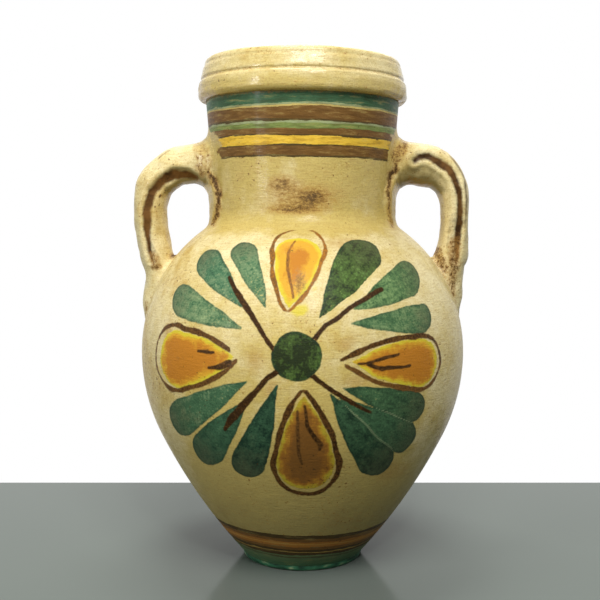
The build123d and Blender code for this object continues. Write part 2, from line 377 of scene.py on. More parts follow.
def thrown(name, section, material, form, columns, crowding=0.0, wobble=0.0, lump=90.0):
    """A thrown piece from a closed half section of (radius, height) points in millimetres."""
    points = [(r * MM, 0.0, z * MM) for r, z in section]
    line = bpy.data.meshes.new(name)
    line.from_pydata(points, [(i, i + 1) for i in range(len(points) - 1)], [])
    piece = link_piece(name, line)
    tree = thrown_tree()
    modifier = piece.modifiers.new("Thrown form", "NODES")
    modifier.node_group = tree
    values = {
        "Columns": columns,
        "Crowding": crowding,
        "Wobble": wobble * form.wobble * MM,
        "Wobble size": lump * MM,
        "Ring depth": wobble * form.ring_depth * MM,
        "Ring pitch": form.ring_pitch * MM,
        "Clay": material,
    }
    for item in tree.interface.items_tree:
        if item.in_out == "INPUT" and item.name in values:
            modifier[item.identifier] = values[item.name]
    shapes = bpy.context.evaluated_depsgraph_get()
    mesh = bpy.data.meshes.new_from_object(piece.evaluated_get(shapes), depsgraph=shapes)
    piece.modifiers.clear()
    piece.data = mesh
    mesh.name = name
    bpy.data.meshes.remove(line)
    return piece


def modelled(name, shells, material):
    """A hand-modelled piece from closed shells of (vertices in millimetres, quads)."""
    vertices, faces, base = [], [], 0
    for points, quads in shells:
        vertices.append(points * MM)
        faces.append(np.asarray(quads) + base)
        base += len(points)
    mesh = bpy.data.meshes.new(name)
    mesh.from_pydata(np.vstack(vertices).tolist(), [], np.vstack(faces).tolist())
    mesh.polygons.foreach_set("use_smooth", np.ones(len(mesh.polygons), bool))
    mesh.materials.append(material)
    mesh.update()
    return link_piece(name, mesh)


def places(piece):
    """A piece's vertices in millimetres."""
    flat = np.zeros(len(piece.data.vertices) * 3)
    piece.data.vertices.foreach_get("co", flat)
    return flat.reshape(-1, 3) / MM


def mark(piece, name, values):
    """Stores a number or a vector for each vertex, for the glaze to read."""
    values = np.asarray(values, np.float32)
    if values.ndim == 2:
        attribute = piece.data.attributes.new(name, "FLOAT_VECTOR", "POINT")
        attribute.data.foreach_set("vector", values.ravel())
    else:
        attribute = piece.data.attributes.new(name, "FLOAT", "POINT")
        attribute.data.foreach_set("value", values)


def edge_mark(distance):
    """Turns a signed distance to a painted edge into a mark: 1 at the edge, more inside, 0 far away."""
    return np.clip((EDGE_REACH - distance) / EDGE_REACH, 0.0, 6.0)


# The brushwork. Points are millimetres round the wall, from the front line, and up it, from the hub's middle.
HUB_HEIGHT = 181.0
HUB = ((-4.6, 0.0), 17.2)

# Leaves: pointed end, middle of the round head, the head's radius, how light the green is, how yellow, and
# how much it is scratched towards the point.
LEAVES = (
    ((-44, 19), (-98, 36), 13.0, 0.74, 0.15, 0.8),
    ((-43, 34), (-74, 67), 13.5, 0.64, 0.0, 0.6),
    ((-26, 34), (-44, 77), 11.0, 0.70, 0.1, 1.0),
    ((12, 26), (42, 73), 18.0, 0.45, 0.9, 0.5),
    ((36, 32), (83, 54), 15.0, 0.67, 0.45, 0.35),
    ((34, 22), (95, 23), 11.0, 0.68, 0.3, 0.35),
    ((-39, -18), (-99, -52), 15.0, 0.58, 0.1, 0.5),
    ((-40, -32), (-74, -74), 15.5, 0.42, 0.0, 0.25),
    ((-18, -20), (-40, -82), 13.5, 0.28, 0.0, 0.1),
    ((28, -22), (86, -41), 12.0, 0.46, 0.25, 0.5),
    ((25, -29), (77, -64), 14.0, 0.46, 0.15, 0.4),
    ((19, -27), (55, -81), 15.5, 0.32, 0.15, 0.1),
)

# Petals: the outline's point, middle of the head, radius and stretch of the far end; the outline's width on
# its left side, its right side and its far end, seen from the point; how worn its two sides are and where
# they start from the point; the fill inside it; how much painted light brightens the fill, and how much
# painted shade, in worn brown, is over it.
PETALS = (
    (
        ((-46, -2), (-103, -6.5), 24.0, 1.12), (4.6, 4.6, 2.2), (0.42, 0.35), (1.0, 5.0),
        ((-50, -2), (-98.5, -7), 21.2, 1.14), 0.45, 0.0,
    ),
    (
        ((-11, 31), (-3, 80.5), 19.0, 1.20), (3.6, 3.2, 1.6), (0.75, 0.85), (0.0, 0.0),
        ((-9.5, 35), (-3.5, 75), 16.8, 1.08), 1.35, 0.0,
    ),
    (
        ((26, -4), (91, -8.5), 19.6, 1.24), (4.4, 4.2, 2.6), (0.3, 0.5), (0.0, 3.0),
        ((35, -4.5), (90, -8.5), 17.6, 1.18), 0.35, 0.1,
    ),
    (
        ((0, -23), (2.5, -81.5), 23.4, 1.21), (5.0, 4.6, 3.2), (0.25, 0.3), (0.0, 0.0),
        ((0.5, -28), (2, -80), 20.8, 1.20), 0.1, 1.0,
    ),
)

# Strokes: points with the brush's half width at each.
STEMS = (
    ((-54.5, 56, 1.5), (-46.5, 43.5, 2.2), (-40, 34, 2.3), (-31.5, 21, 1.8), (-25.5, 12, 1.6), (-17, 1, 2.1)),
    ((57.5, 46, 2.0), (49, 42.5, 2.0), (39.5, 37.5, 1.9), (27.5, 29, 1.7), (16, 21, 1.5), (6, 10, 1.8)),
    ((-57, -55, 1.4), (-51, -46, 3.0), (-43, -36, 2.9), (-33, -25, 2.0), (-25, -15.5, 1.9), (-13, -7, 2.0)),
    ((48.5, -41, 1.2), (34.5, -33, 1.8), (23, -26, 1.9), (16, -21, 1.7), (4, -11, 1.8)),
)
VEINS = (
    ((-79, 0.5, 1.0), (-72, 1, 1.5), (-65, 1, 0.9)),
    ((-69, -10.5, 1.0), (-60, -8.5, 2.3), (-53, -6, 2.4)),
    ((38, -6, 0.8), (59, -3, 1.4), (71, -0.5, 0.9)),
    ((45, -6, 1.0), (57.5, -10, 1.7), (81.5, -9.5, 1.0)),
    ((-4, -38, 0.9), (-3.5, -53.5, 1.4), (-2.5, -70, 1.3), (-1, -81, 0.8)),
    ((1, -34.5, 0.9), (3, -49, 1.4), (7.5, -57, 1.6), (12, -64.5, 1.8), (11.5, -68.5, 0.9)),
    ((-5.5, 90, 0.6), (-10.5, 77, 1.0), (-11, 66, 1.2), (-8, 50.5, 1.2), (-6.5, 41, 0.8)),
)
VEIN_WEAR = (0.2, 0.2, 0.2, 0.2, 0.35, 0.2, 0.8)
PALE_STROKE = ((58.5, 65, 0.8), (46.5, 51.5, 1.9), (38, 42.5, 2.5), (27, 35.5, 1.8), (11, 23.5, 1.4))

# Brown stains in the slip: middle, and how far they reach round and up the wall.
STAINS = (
    (-62, 57, 9, 7), (-50, 43, 7, 6), (-33, -4, 8, 9), (30, 8, 10, 6), (39, -18, 12, 5),
    (-22, -22, 6, 8), (70, -96, 22, 12), (-112, 12, 8, 14), (30, 86, 16, 7),
)
# Lemon paint that ran over the edge of the top petal: as the stains, with how thick it lies.
SMEARS = ((-2, 32, 8, 5, 1.0), (9, 49, 4, 6, 0.6), (-22, 57, 3.5, 5, 0.6))
# Where the top petal is rubbed, with a faint painted sheen over it: as the stains.
RUBBED_AND_SHEEN = (-2, 52, 7, 15)


def teardrop(points, tip, head, radius, stretch=1.0, bulge=1.5):
    """Signed distance to a painted drop, how far along it each point lies, and how far off its middle."""
    axis = np.subtract(head, tip)
    reach = np.hypot(*axis)
    axis = axis / reach
    away = points - np.asarray(tip)
    along = away @ axis
    side = away @ np.array((axis[1], -axis[0]))
    along = np.where(along > reach, reach + (along - reach) / stretch, along)
    lean = (0.6 - radius) / reach
    slope = math.sqrt(1 - lean * lean)
    wide = np.abs(side)
    turn = -lean * wide + slope * along
    swell = bulge * np.sin(math.pi * np.clip(turn / (slope * reach), 0, 1))
    flank = slope * wide + lean * along - 0.6 - swell
    point = np.hypot(wide, along) - 0.6
    cap = np.hypot(wide, along - reach) - radius
    distance = np.where(turn < 0, point, np.where(turn > slope * reach, cap, flank))
    return distance, along / (reach + radius), side


def patch(across, up, x, y, wide, high):
    """A soft patch: 1 at its middle, and less the farther across and up from it."""
    return np.exp(-(((across - x) / wide) ** 2 + ((up - y) / high) ** 2))


def soft_ridge(value, middle, wide):
    """A soft ridge: 1 at a value's middle, and less to both sides."""
    return np.exp(-(((value - middle) / wide) ** 2))


def eased(share):
    """A share from 0 to 1 with a soft start and end."""
    return share * share * (3 - 2 * share)


def stroke(points, path):
    """Signed distance to a brush stroke along a path with a half width at each of its points."""
    nearest = np.full(len(points), FAR)
    for (x0, y0, w0), (x1, y1, w1) in zip(path, path[1:]):
        run = np.array((x1 - x0, y1 - y0))
        share = np.clip(((points - (x0, y0)) @ run) / (run @ run), 0, 1)
        gap = np.hypot(points[:, 0] - x0 - share * run[0], points[:, 1] - y0 - share * run[1])
        nearest = np.minimum(nearest, gap - (w0 + (w1 - w0) * share))
    return nearest


def paint_rosette(piece, form):
    """Marks the rosette's leaves, petals and lines on a wall."""
    xyz = places(piece)
    size = len(xyz)
    radius = np.hypot(xyz[:, 0], xyz[:, 1])
    outside = radius > form.outer_radius(xyz[:, 2]) - 2.0
    angle = np.arctan2(xyz[:, 0], -xyz[:, 1])
    flat = np.column_stack((radius * angle, form.climb(xyz[:, 2]) - form.climb(HUB_HEIGHT)))
    flat = by_hand(flat, 0.5, 22, 3, 8)
    leaf = np.hypot(*(flat - np.asarray(HUB[0])).T) - HUB[1]
    in_hub = leaf < -1.0
    inked = np.min([stroke(flat, (*path, (*HUB[0], 2.4))) for path in STEMS], 0)
    tone = 0.37 - 0.22 * np.exp(-np.maximum(inked, 0) / 2.5)
    warm, run = np.full(size, 0.9), np.full(size, 0.3)
    scratch, second = np.zeros(size), np.full(size, FAR)
    brush = np.column_stack((flat, np.zeros(size)))
    for number, (tip, head, round_size, light, yellow, scratched) in enumerate(LEAVES):
        distance, along, side = teardrop(flat, tip, head, round_size)
        nearer = distance < leaf
        second = np.minimum(second, np.maximum(distance, leaf))
        leaf = np.where(nearer, distance, leaf)
        tone = np.where(nearer, light, tone)
        warm = np.where(nearer, yellow, warm)
        run = np.where(nearer, along, run)
        scratch = np.where(nearer, scratched * np.clip(1.5 - 2 * along, 0.1, 1), scratch)
        brush[nearer] = np.column_stack((side, 70 * along, np.full(size, 40.0 * number)))[nearer]
    line, petal, wear = np.full(size, FAR), np.full(size, FAR), np.zeros(size)
    bright, shaded = np.zeros(size), np.zeros(size)
    # Each petal's light is painted light on its fill, and its brown is painted shade.
    for number, (outline, widths, worn_sides, starts, fill, light, brown) in enumerate(PETALS):
        distance, along, side = teardrop(flat, *outline, 4.0)
        reach = np.hypot(*np.subtract(outline[1], outline[0])) + outline[2]
        width, worn_side, start = (
            np.where(side > 0, pair[1], pair[0]) for pair in (widths, worn_sides, starts)
        )
        width = width + (widths[2] - width) * eased(np.clip((along - 0.72) / 0.26, 0, 1))
        width = width * (0.9 + 0.22 * waver(flat, 16, 5)) * np.clip(0.6 + 3 * along, 0.6, 1)
        drawn = np.maximum(np.abs(distance) - width / 2, start - along * reach)
        wear = np.where(drawn < line, worn_side, wear)
        line = np.minimum(line, drawn)
        distance, along, side = teardrop(flat, *fill, 3.5)
        nearer = distance < np.minimum(leaf, petal)
        petal = np.minimum(petal, distance)
        bright = np.where(nearer, light, bright)
        shaded = np.where(nearer, brown, shaded)
        brush[nearer] = np.column_stack((side, 70 * along, np.full(size, 600 + 40.0 * number)))[nearer]
    for path, worn_path in zip(STEMS + VEINS, (0.1,) * len(STEMS) + VEIN_WEAR):
        drawn = stroke(flat, path)
        wear = np.where(drawn < line, worn_path, wear)
        line = np.minimum(line, drawn)
    front = outside & (np.abs(angle) < 1.5)
    for name, values in {
        "leaf": edge_mark(leaf),
        "leaf_tone": tone,
        "leaf_run": run,
        "leaf_warm": warm,
        "scratch": scratch,
        "leaf_seam": np.clip(1.2 - (second - leaf) / 2.4, 0, 1) * (second < 0),
        "petal_light": bright,
        "petal_shade": shaded,
        "petal": edge_mark(petal),
        "line": edge_mark(np.where(in_hub, FAR, line)),
        "wear": wear,
        "pale": edge_mark(stroke(flat, PALE_STROKE)),
        "worn": patch(*flat.T, *RUBBED_AND_SHEEN),
        "smear": sum(depth * patch(*flat.T, *place) for *place, depth in SMEARS),
        "stain": sum(patch(*flat.T, *place) for place in STAINS),
    }.items():
        mark(piece, name, np.where(front, values, 0.0))
    mark(piece, "brush", brush)


# Handles: for each side, its sign along X, the height of its root, and the run of the strap as
# (out from the axis, height, thickness, width).
STRAPS = {
    "left": (
        -1,
        320.0,
        (
            (68.5, 320.4, 33.0, 41.0), (80.0, 320.0, 32.0, 40.0), (91.0, 319.2, 30.6, 38.5),
            (103.0, 316.4, 30.4, 37.0), (115.0, 307.4, 29.4, 36.0), (119.8, 300.5, 28.6, 36.0),
            (122.3, 291.0, 27.0, 36.0), (123.0, 282.5, 26.2, 36.0), (122.1, 266.4, 25.9, 36.0),
            (119.0, 250.2, 26.1, 36.5), (115.2, 234.0, 24.4, 36.5), (115.3, 222.5, 24.2, 35.0),
            (118.0, 212.7, 22.6, 32.0), (121.0, 202.0, 17.0, 27.0), (122.5, 195.0, 10.0, 20.0),
            (122.5, 190.0, 4.0, 10.0),
        ),
    ),
    "right": (
        1,
        320.0,
        (
            (68.5, 320.4, 33.0, 41.0), (80.0, 320.1, 33.0, 40.0), (88.0, 319.8, 33.2, 39.0),
            (96.0, 318.4, 34.0, 38.0), (104.5, 316.4, 33.4, 37.0), (112.4, 311.6, 30.2, 36.5),
            (118.9, 303.3, 25.8, 36.0), (122.2, 294.0, 23.2, 36.0), (123.2, 282.0, 21.8, 36.0),
            (123.1, 269.6, 21.6, 36.0), (122.4, 257.0, 23.3, 36.0), (121.2, 247.0, 25.6, 36.5),
            (118.9, 240.0, 25.0, 37.0), (118.0, 227.4, 24.8, 36.0), (118.8, 213.0, 22.8, 33.0),
            (119.6, 202.5, 16.5, 27.0), (121.5, 195.0, 9.0, 20.0), (122.0, 190.0, 4.0, 10.0),
        ),
    ),
}

# Painted stripe along each strap's front edge, and again along its back: out, height, half width.
STRIPES = {
    "left": (
        (83.5, 307.2, 1.6), (92.0, 310.4, 3.2), (101.6, 310.4, 3.7), (111.0, 305.2, 3.4), (119.2, 296.5, 3.2),
        (123.0, 282.5, 3.4), (122.8, 266.5, 2.8), (121.4, 250.5, 1.7), (119.5, 242.0, 1.0),
    ),
    "right": (
        (87.5, 320.5, 1.8), (91.5, 323.8, 2.2), (99.0, 324.0, 2.4), (107.0, 320.0, 3.0), (115.0, 314.5, 3.1),
        (119.9, 307.5, 2.8), (123.1, 298.0, 2.5), (124.5, 282.5, 2.6), (124.3, 271.0, 2.8),
        (122.5, 257.0, 2.4), (121.5, 242.0, 1.2),
    ),
}

# A thin line along the outer edge, and where the stripe was brushed dry: out, height, half width.
EDGE_LINES = {
    "left": ((106.0, 329.0, 0.1), (114.0, 323.0, 0.1)),
    "right": (
        (117.0, 325.0, 0.4), (124.0, 316.5, 0.7), (128.4, 308.0, 0.7), (130.0, 290.0, 0.7),
        (128.6, 268.0, 0.4),
    ),
}
DRY_BRUSH = {
    "left": ((121.0, 255.0, 1.5), (118.5, 246.0, 3.5), (116.0, 239.0, 3.0)),
    "right": ((119.5, 278.0, 1.5), (119.5, 265.0, 3.2), (119.0, 252.0, 3.6), (119.5, 241.0, 2.5)),
}

# Dirt in the creases of each handle's root, as strokes on the front and on the back: how thick it lies, and
# the stroke's out, height and half width. The last stroke on the right is painted shade under the arch.
DIRT_AND_SHADE = {
    "left": (
        (
            0.95,
            (73, 310, 2.2), (69, 304.5, 2.8), (65, 298, 2.4), (65.2, 286, 2.0), (67, 277, 1.8), (70, 271, 1),
        ),
        (0.5, (81, 331, 6), (77, 322, 7), (74, 316, 5)),
        (0.7, (82.5, 317, 2.5), (79, 311.5, 3)),
        (0.95, (100.5, 249, 1.5), (103.5, 245.5, 2.2)),
        (0.7, (119, 246, 3), (116, 238, 4)),
        (0.6, (80, 271, 1.0), (97, 256, 1.4)),
        (0.8, (124.5, 209, 1), (124.8, 197, 1.2)),
    ),
    "right": (
        (
            0.95,
            (72.6, 314.5, 2.6), (69, 309.7, 2.6), (67.2, 302, 2.2), (66.3, 296, 1.8), (66.3, 287, 1.2),
            (69.6, 269, 1),
        ),
        (0.68, (80, 333, 4.5), (74, 325, 6), (72, 319, 4)),
        (0.85, (101, 247, 1.2), (108, 237, 1.6), (114, 224, 1.8), (119, 208, 1.6)),
        (0.72, (121, 256, 4.5), (120, 238, 4.5), (119, 222, 3.4), (119.5, 209, 2.2)),
        (0.7, (108, 250, 4), (112, 236, 4)),
        (0.7, (79, 271, 0.9), (97, 253, 1.2)),
        # Painted shade under the right handle's arch.
        (0.5, (86, 305.5, 4), (99, 302.5, 4)),
    ),
}

# Reach of the clay smoothed round a strap's root and round its tail.
ROOT_FILLET = 14.0
TAIL_FILLET = 5.0
# Half width of the clay band on the neck, by height.
PAD_EDGE = (
    (262, 20), (268, 23), (272, 27), (279, 32), (287, 34.5), (297, 34), (303, 29), (309, 22), (320, 16),
)


def smooth_run(stations, count):
    """Points spread evenly along a smooth curve through the stations."""
    stations = np.asarray(stations, float)
    ends = np.vstack((2 * stations[0] - stations[1], stations, 2 * stations[-1] - stations[-2]))
    found = []
    for a, b, c, d in zip(ends, ends[1:], ends[2:], ends[3:]):
        bend, twist = 2 * a - 5 * b + 4 * c - d, 3 * b - a - 3 * c + d
        for t in np.linspace(0, 1, 24, endpoint=False):
            found.append(0.5 * (2 * b + (c - a) * t + bend * t * t + twist * t**3))
    found = np.asarray(found + [stations[-1]])
    step = np.concatenate(([0], np.cumsum(np.hypot(*np.diff(found[:, :2], axis=0).T))))
    even = np.linspace(0, step[-1], count)
    return np.column_stack([np.interp(even, step, column) for column in found.T])


def tube(rings):
    """Points and quads of a closed tube through rings of points, with its ends drawn to a point."""
    count, sides = rings.shape[:2]
    points = np.vstack((rings.reshape(-1, 3), rings[0].mean(0), rings[-1].mean(0)))
    quads = []
    for i in range(count - 1):
        for j in range(sides):
            k = (j + 1) % sides
            quads.append((i * sides + j, i * sides + k, (i + 1) * sides + k, (i + 1) * sides + j))
    first, last, top = count * sides, count * sides + 1, (count - 1) * sides
    for a in range(0, sides, 2):
        b, c = a + 1, (a + 2) % sides
        quads += [(first, c, b, a), (last, top + a, top + b, top + c)]
    return points, quads


def slab(outer, inner):
    """Points and quads of a closed slab between two grids of points."""
    rows, columns = outer.shape[:2]
    size = rows * columns
    points = np.vstack((outer.reshape(-1, 3), inner.reshape(-1, 3)))
    quads = []
    for i in range(rows - 1):
        for j in range(columns - 1):
            p, q = i * columns + j, (i + 1) * columns + j
            quads.append((p, q, q + 1, p + 1))
            quads.append((size + p + 1, size + q + 1, size + q, size + p))
    rim = [i * columns for i in range(rows)] + [(rows - 1) * columns + j for j in range(1, columns)]
    rim += [i * columns + columns - 1 for i in range(rows - 2, -1, -1)] + list(range(columns - 2, 0, -1))
    quads += [(q, p, size + p, size + q) for p, q in zip(rim, rim[1:] + rim[:1])]
    return points, quads


class PulledStrap:
    """A strap handle pulled from one lump of clay, from its root on the neck to its tail on the shoulder."""

    def __init__(self, form, side):
        self.form = form
        self.side = side
        self.sign, self.root, stations = STRAPS[side]
        self.run = smooth_run(stations, 190)
        self.way = np.gradient(self.run[:, :2], axis=0)
        self.way /= np.hypot(*self.way.T)[:, None]
        self.out = np.column_stack((-self.way[:, 1], self.way[:, 0]))
        self.seed = 21 if self.sign < 0 else 34

    def side_view(self, points):
        """Points as seen from the front: how far out on this handle's side, and how high."""
        return np.column_stack((points[:, 0] * self.sign, points[:, 2]))

    def gap(self, points):
        """Distance outside the bare strap."""
        flat = self.side_view(points)
        near = np.argmin(((flat[:, None] - self.run[None, :, :2]) ** 2).sum(-1), 1)
        away = flat - self.run[near, :2]
        across = (away * self.out[near]).sum(1)
        beyond = np.clip(np.abs((away * self.way[near]).sum(1)) - 2, 0, None)
        share = np.hypot(across / self.run[near, 2], points[:, 1] / self.run[near, 3]) * 2
        sideways = np.hypot(across, points[:, 1]) * (1 - 1 / np.maximum(share, 0.05))
        return np.where(beyond > 0, np.hypot(np.maximum(sideways, 0), beyond), sideways)

    def pad_edge(self, points):
        """Distance outside the edge of the clay band on the neck, measured round the neck."""
        wide = np.interp(points[:, 2], *np.transpose(PAD_EDGE))
        turn = np.arctan2(np.abs(points[:, 1]), points[:, 0] * self.sign)
        return turn * self.form.neck_base_radius - wide

    def ground(self, points):
        """Distance outside the neck, the shoulder and the clay band inside this handle's loop."""
        radius = np.hypot(points[:, 0], points[:, 1])
        body = self.form.body_gap(radius, points[:, 2])
        face = radius - self.form.neck_radius(points[:, 2]) - self.form.pad_thickness
        pad = -soft_min(-face, -self.pad_edge(points), 6.0)
        return soft_min(body, np.maximum(pad, points[:, 2] - self.root), 4.0)

    def fillet(self, height):
        """Reach of the fillet between the strap and what it is pressed on."""
        return np.interp(height, (258, 282), (TAIL_FILLET, ROOT_FILLET))

    def strap(self, sides=96):
        """The strap itself, flared where it meets the neck and the shoulder."""
        turn = np.linspace(0, 2 * math.pi, sides, endpoint=False)
        ridge = 1 + 0.07 * np.abs(np.sin(turn)) ** 8
        flatter = np.hypot(np.cos(turn), np.sin(turn)) / (np.cos(turn) ** 4 + np.sin(turn) ** 4) ** 0.12
        thick = self.run[:, 2:3] / 2 * np.cos(turn) * flatter
        wide = self.run[:, 3:4] / 2 * np.sin(turn) * ridge * flatter
        x = (self.run[:, 0:1] + self.out[:, 0:1] * thick) * self.sign
        rings = np.stack((x, wide, self.run[:, 1:2] + self.out[:, 1:2] * thick), -1)
        middle = np.column_stack((self.run[:, 0] * self.sign, np.zeros(len(self.run)), self.run[:, 1]))
        outward = rings - middle[:, None]
        outward = (outward / np.linalg.norm(outward, axis=-1, keepdims=True)).reshape(-1, 3)
        flat = rings.reshape(-1, 3)
        lumps = 0.5 * waver(flat, 38, self.seed) + 0.2 * waver(flat, 14, self.seed + 1)
        lumps += 0.12 * waver(flat, 6, self.seed + 2)
        beside = stroke(self.side_view(flat), STRIPES[self.side])
        flank = np.clip(np.abs(wide).ravel() / np.repeat(self.run[:, 3], sides) * 4 - 0.8, 0, 1)
        lumps += flank * (0.8 * soft_ridge(beside, 3, 2.2) - 1.1 * np.clip(0.4 - beside / 3, 0, 1))
        flat = flat + outward * lumps[:, None]
        shift = np.zeros(len(flat))
        for _ in range(14):
            ground = self.ground(flat + outward * shift[:, None])
            shift = np.clip(shift - 0.8 * soft_min(ground, shift, self.fillet(flat[:, 2])), 0, 8)
        buried = np.clip((shift - ground) / 2, 0, 1)
        points, quads = tube((flat + outward * (shift - 0.9 * buried)[:, None]).reshape(rings.shape))
        if self.sign > 0:
            quads = [quad[::-1] for quad in quads]
        return points, quads

    def smear(self, low, high, half_angle, most, count):
        """Clay smoothed over the neck or the shoulder beside the strap, feathered into it."""
        across, height = np.meshgrid(
            np.linspace(-half_angle, half_angle, count[0]), np.linspace(low, high, count[1]), indexing="ij"
        )
        turn = (math.pi / 2 * self.sign + across).ravel()
        height = height.ravel()
        face = np.column_stack((np.sin(turn), -np.cos(turn)))
        base = self.form.filleted_radius(height)
        radius = base.copy()
        for _ in range(16):
            points = np.column_stack((face * radius[:, None], height))
            ground, gap = self.ground(points), self.gap(points)
            radius = np.clip(radius - 0.8 * soft_min(ground, gap, self.fillet(height)), base, base + most)
        rise = radius - base
        buried = np.clip((ground - gap) / 2, 0, 1) * (gap < 6)
        lump = 0.2 * waver(points, 9, self.seed + 5) * np.clip(rise / 2, 0, 1)
        radius = radius + lump - feathered(rise) - 0.9 * buried
        outer = np.column_stack((face * radius[:, None], height)).reshape(*count, 3)
        inner = np.column_stack((face * (self.form.outer_radius(height) - 2.5)[:, None], height))
        return slab(outer, inner.reshape(*count, 3))

    def crease_dirt_and_shade(self, points):
        """How much dirt and painted shade lie at points, in the creases round the strap's ends and the clay
        band's edges.
        """
        gap, ground = np.maximum(self.gap(points), 0), np.maximum(self.ground(points), 0)
        reach = self.fillet(points[:, 2])
        near = np.exp(-((np.maximum(gap + ground - reach / 2, 0) / (0.4 * reach)) ** 2))
        flat = by_hand(self.side_view(points), 0.8, 9, self.seed + 11, self.seed + 12)
        strokes = np.zeros(len(points))
        for thick, *path in DIRT_AND_SHADE[self.side]:
            strokes = np.maximum(strokes, thick * np.clip(0.62 - stroke(flat, path) / 5, 0, 1))
        close = np.clip(1.5 - gap / 5, 0, 1)
        reached = np.where(points[:, 2] < 266, close, (gap < 7) | (ground < 6))
        return np.maximum(0.3 * near, strokes * reached)

    def stripe(self, points):
        """Mark of the painted stripe along the strap's front and back edges."""
        flat = by_hand(self.side_view(points), 0.5, 17, self.seed + 7, self.seed + 8)
        paths = (table[self.side] for table in (STRIPES, EDGE_LINES, DRY_BRUSH))
        full, thin, dry = (edge_mark(stroke(flat, path)) for path in paths)
        drawn = np.maximum(np.maximum(full, thin), np.minimum(dry, 0.96))
        return np.where(self.gap(points) < 3, drawn, 0)


def grime_and_shade_at(form, xyz):
    """How much dirt and painted shade the jar's creases hold at points in millimetres, from 0 to 1."""
    z = xyz[:, 2]
    found = np.zeros(len(xyz))
    for side, (sign, _, _) in STRAPS.items():
        here = np.flatnonzero((xyz[:, 0] * sign > 48) & (z > 180) & (z < form.rim_base))
        found[here] = np.maximum(found[here], PulledStrap(form, side).crease_dirt_and_shade(xyz[here]))
    rise = z - form.rim_base
    # Round the collar: painted shadow on the neck just under its foot, painted shade in its turned groove and
    # incised line, and tan stain just above its foot and below its lip.
    collar = (
        np.where(rise <= 1, 0.5 * soft_ridge(rise, 0, 2.0), 0),
        np.where(rise > 0, 0.3 * soft_ridge(rise, 3.0, 2.2), 0),
        0.4 * soft_ridge(rise, form.groove_rise, 2.0),
        0.32 * soft_ridge(rise, form.line_rise, 1.8),
        0.3 * soft_ridge(rise, form.rim_height - 4.0, 1.6),
    )
    return np.clip(np.maximum(found, np.where(rise > -8, np.max(collar, 0), 0)), 0, 1)


def soil_and_shade(piece, form):
    """Marks where a piece's creases hold dirt and painted shade, and where its outside is."""
    xyz = places(piece)
    radius = np.hypot(xyz[:, 0], xyz[:, 1])
    wall = np.where(xyz[:, 2] > form.rim_base - 0.5, form.neck_top_radius, form.outer_radius(xyz[:, 2]))
    outside = (radius > wall - 2).astype(float)
    mark(piece, "outside", outside)
    mark(piece, "grime", grime_and_shade_at(form, xyz) * outside)


# The rubbed smudge low on the neck's front: across, height, how far it reaches both ways, and how dark it is.
SMUDGES = ((0, 291, 28, 11, 0.5), (8, 290.5, 9, 5, 0.55), (-16, 301, 9, 6, 0.6), (-7, 282, 18, 3.5, 0.6))


def smudge(piece, form):
    """Marks the rubbed smudge on the neck and on the fillet at its foot."""
    x, y, z = places(piece).T
    rubbed = sum(depth * patch(x, z, *place) for *place, depth in SMUDGES)
    front = (y < 0) & (np.hypot(x, y) > form.neck_radius(z) - 2)
    mark(piece, "smudge", np.where(front, rubbed, 0))


def new_material(name):
    """An empty node material, its tree, and its piece's own coordinates in millimetres."""
    old = bpy.data.materials.get(name)
    if old:
        bpy.data.materials.remove(old)
    material = bpy.data.materials.new(name)
    material.use_nodes = True
    tree = material.node_tree
    tree.nodes.clear()
    place = add(tree, "TexCoord", out="Object")
    return material, tree, add(tree, "VectorMath", (place, (1 / MM,) * 3), operation="MULTIPLY")


def surfaced(material, surface):
    """A node material with its finished surface."""
    tree = material.node_tree
    add(tree, "OutputMaterial", {"Surface": add(tree, "BsdfPrincipled", surface)})
    return material


def painted(tree, below, paint, mark_name, ragged, softness, place, size):
    """Lays a paint over a colour inside a mark's edge, made ragged by noise of a size in millimetres."""
    given = add(tree, "Attribute", out="Fac", attribute_name=mark_name)
    noise = add(tree, "TexNoise", {"Vector": place, "Scale": 1 / size, "Detail": 4.0})
    lift = add(tree, "Math", (noise, 0.5), operation="SUBTRACT")
    edge = weighed(tree, given, (lift, ragged))
    mask = add(tree, "MapRange", (edge, 1 - softness, 1 + softness), interpolation_type="SMOOTHSTEP")
    return add(tree, "Mix", {0: mask, 6: below, 7: paint}, out=2, data_type="RGBA"), mask


def washed(tree, below, *coats):
    """Lays paints over a colour, each where a value rises from low to high, at most so strong."""
    for paint, value, low, high, most in coats:
        mask = add(tree, "MapRange", (value, low, high, 0.0, most))
        below = add(tree, "Mix", {0: mask, 6: below, 7: paint}, out=2, data_type="RGBA")
    return below


def ramped(tree, value, stops, interpolation="LINEAR"):
    """Looks up a colour and a strength by a value; stops give (place, colour, strength)."""
    ramp = add(tree, "ValToRGB", (value,)).node
    ramp.color_ramp.interpolation = interpolation
    elements = ramp.color_ramp.elements
    while len(elements) < len(stops):
        elements.new(1.0)
    for element, (place, paint, strength) in zip(elements, stops):
        element.position = place
        element.color = (*paint, strength)
    return ramp.outputs


JAR_HEIGHT = 400.0
# How thin the slip lies, shown as straw, by height as a share of the jar's: thin on the bowl and neck, thick
# on the shoulder. Low on the bowl, at the neck's foot and on the collar's lower band the straw is painted
# shade.
SLIP_STRAW_AND_SHADE = (
    (0.1, 0.6), (0.35, 0.4), (0.52, 0.14), (0.6, 0.03), (0.65, 0.02),
    (0.675, 0.46), (0.72, 0.3), (0.9, 0.36), (0.935, 0.36), (0.955, 0.12),
)
# How glossy the slip still is, by height as a share of the jar's: worn on the body, fresher on the collar.
GLOSS = ((0.0, 0.2), (0.6, 0.24), (0.7, 0.26), (0.73, 0.55), (0.91, 0.55), (0.93, 1.0))
# Noises in the slip: size in millimetres, detail and roughness of the clouds, the mottling, the grain, the
# pits and the crumbs of dirt.
SLIP_NOISES = ((60, 3.0, 0.5), (13, 7.0, 0.66), (1.2, 3.0, 0.5), (2.2, 1.5, 0.5), (2.2, 8.0, 0.75))


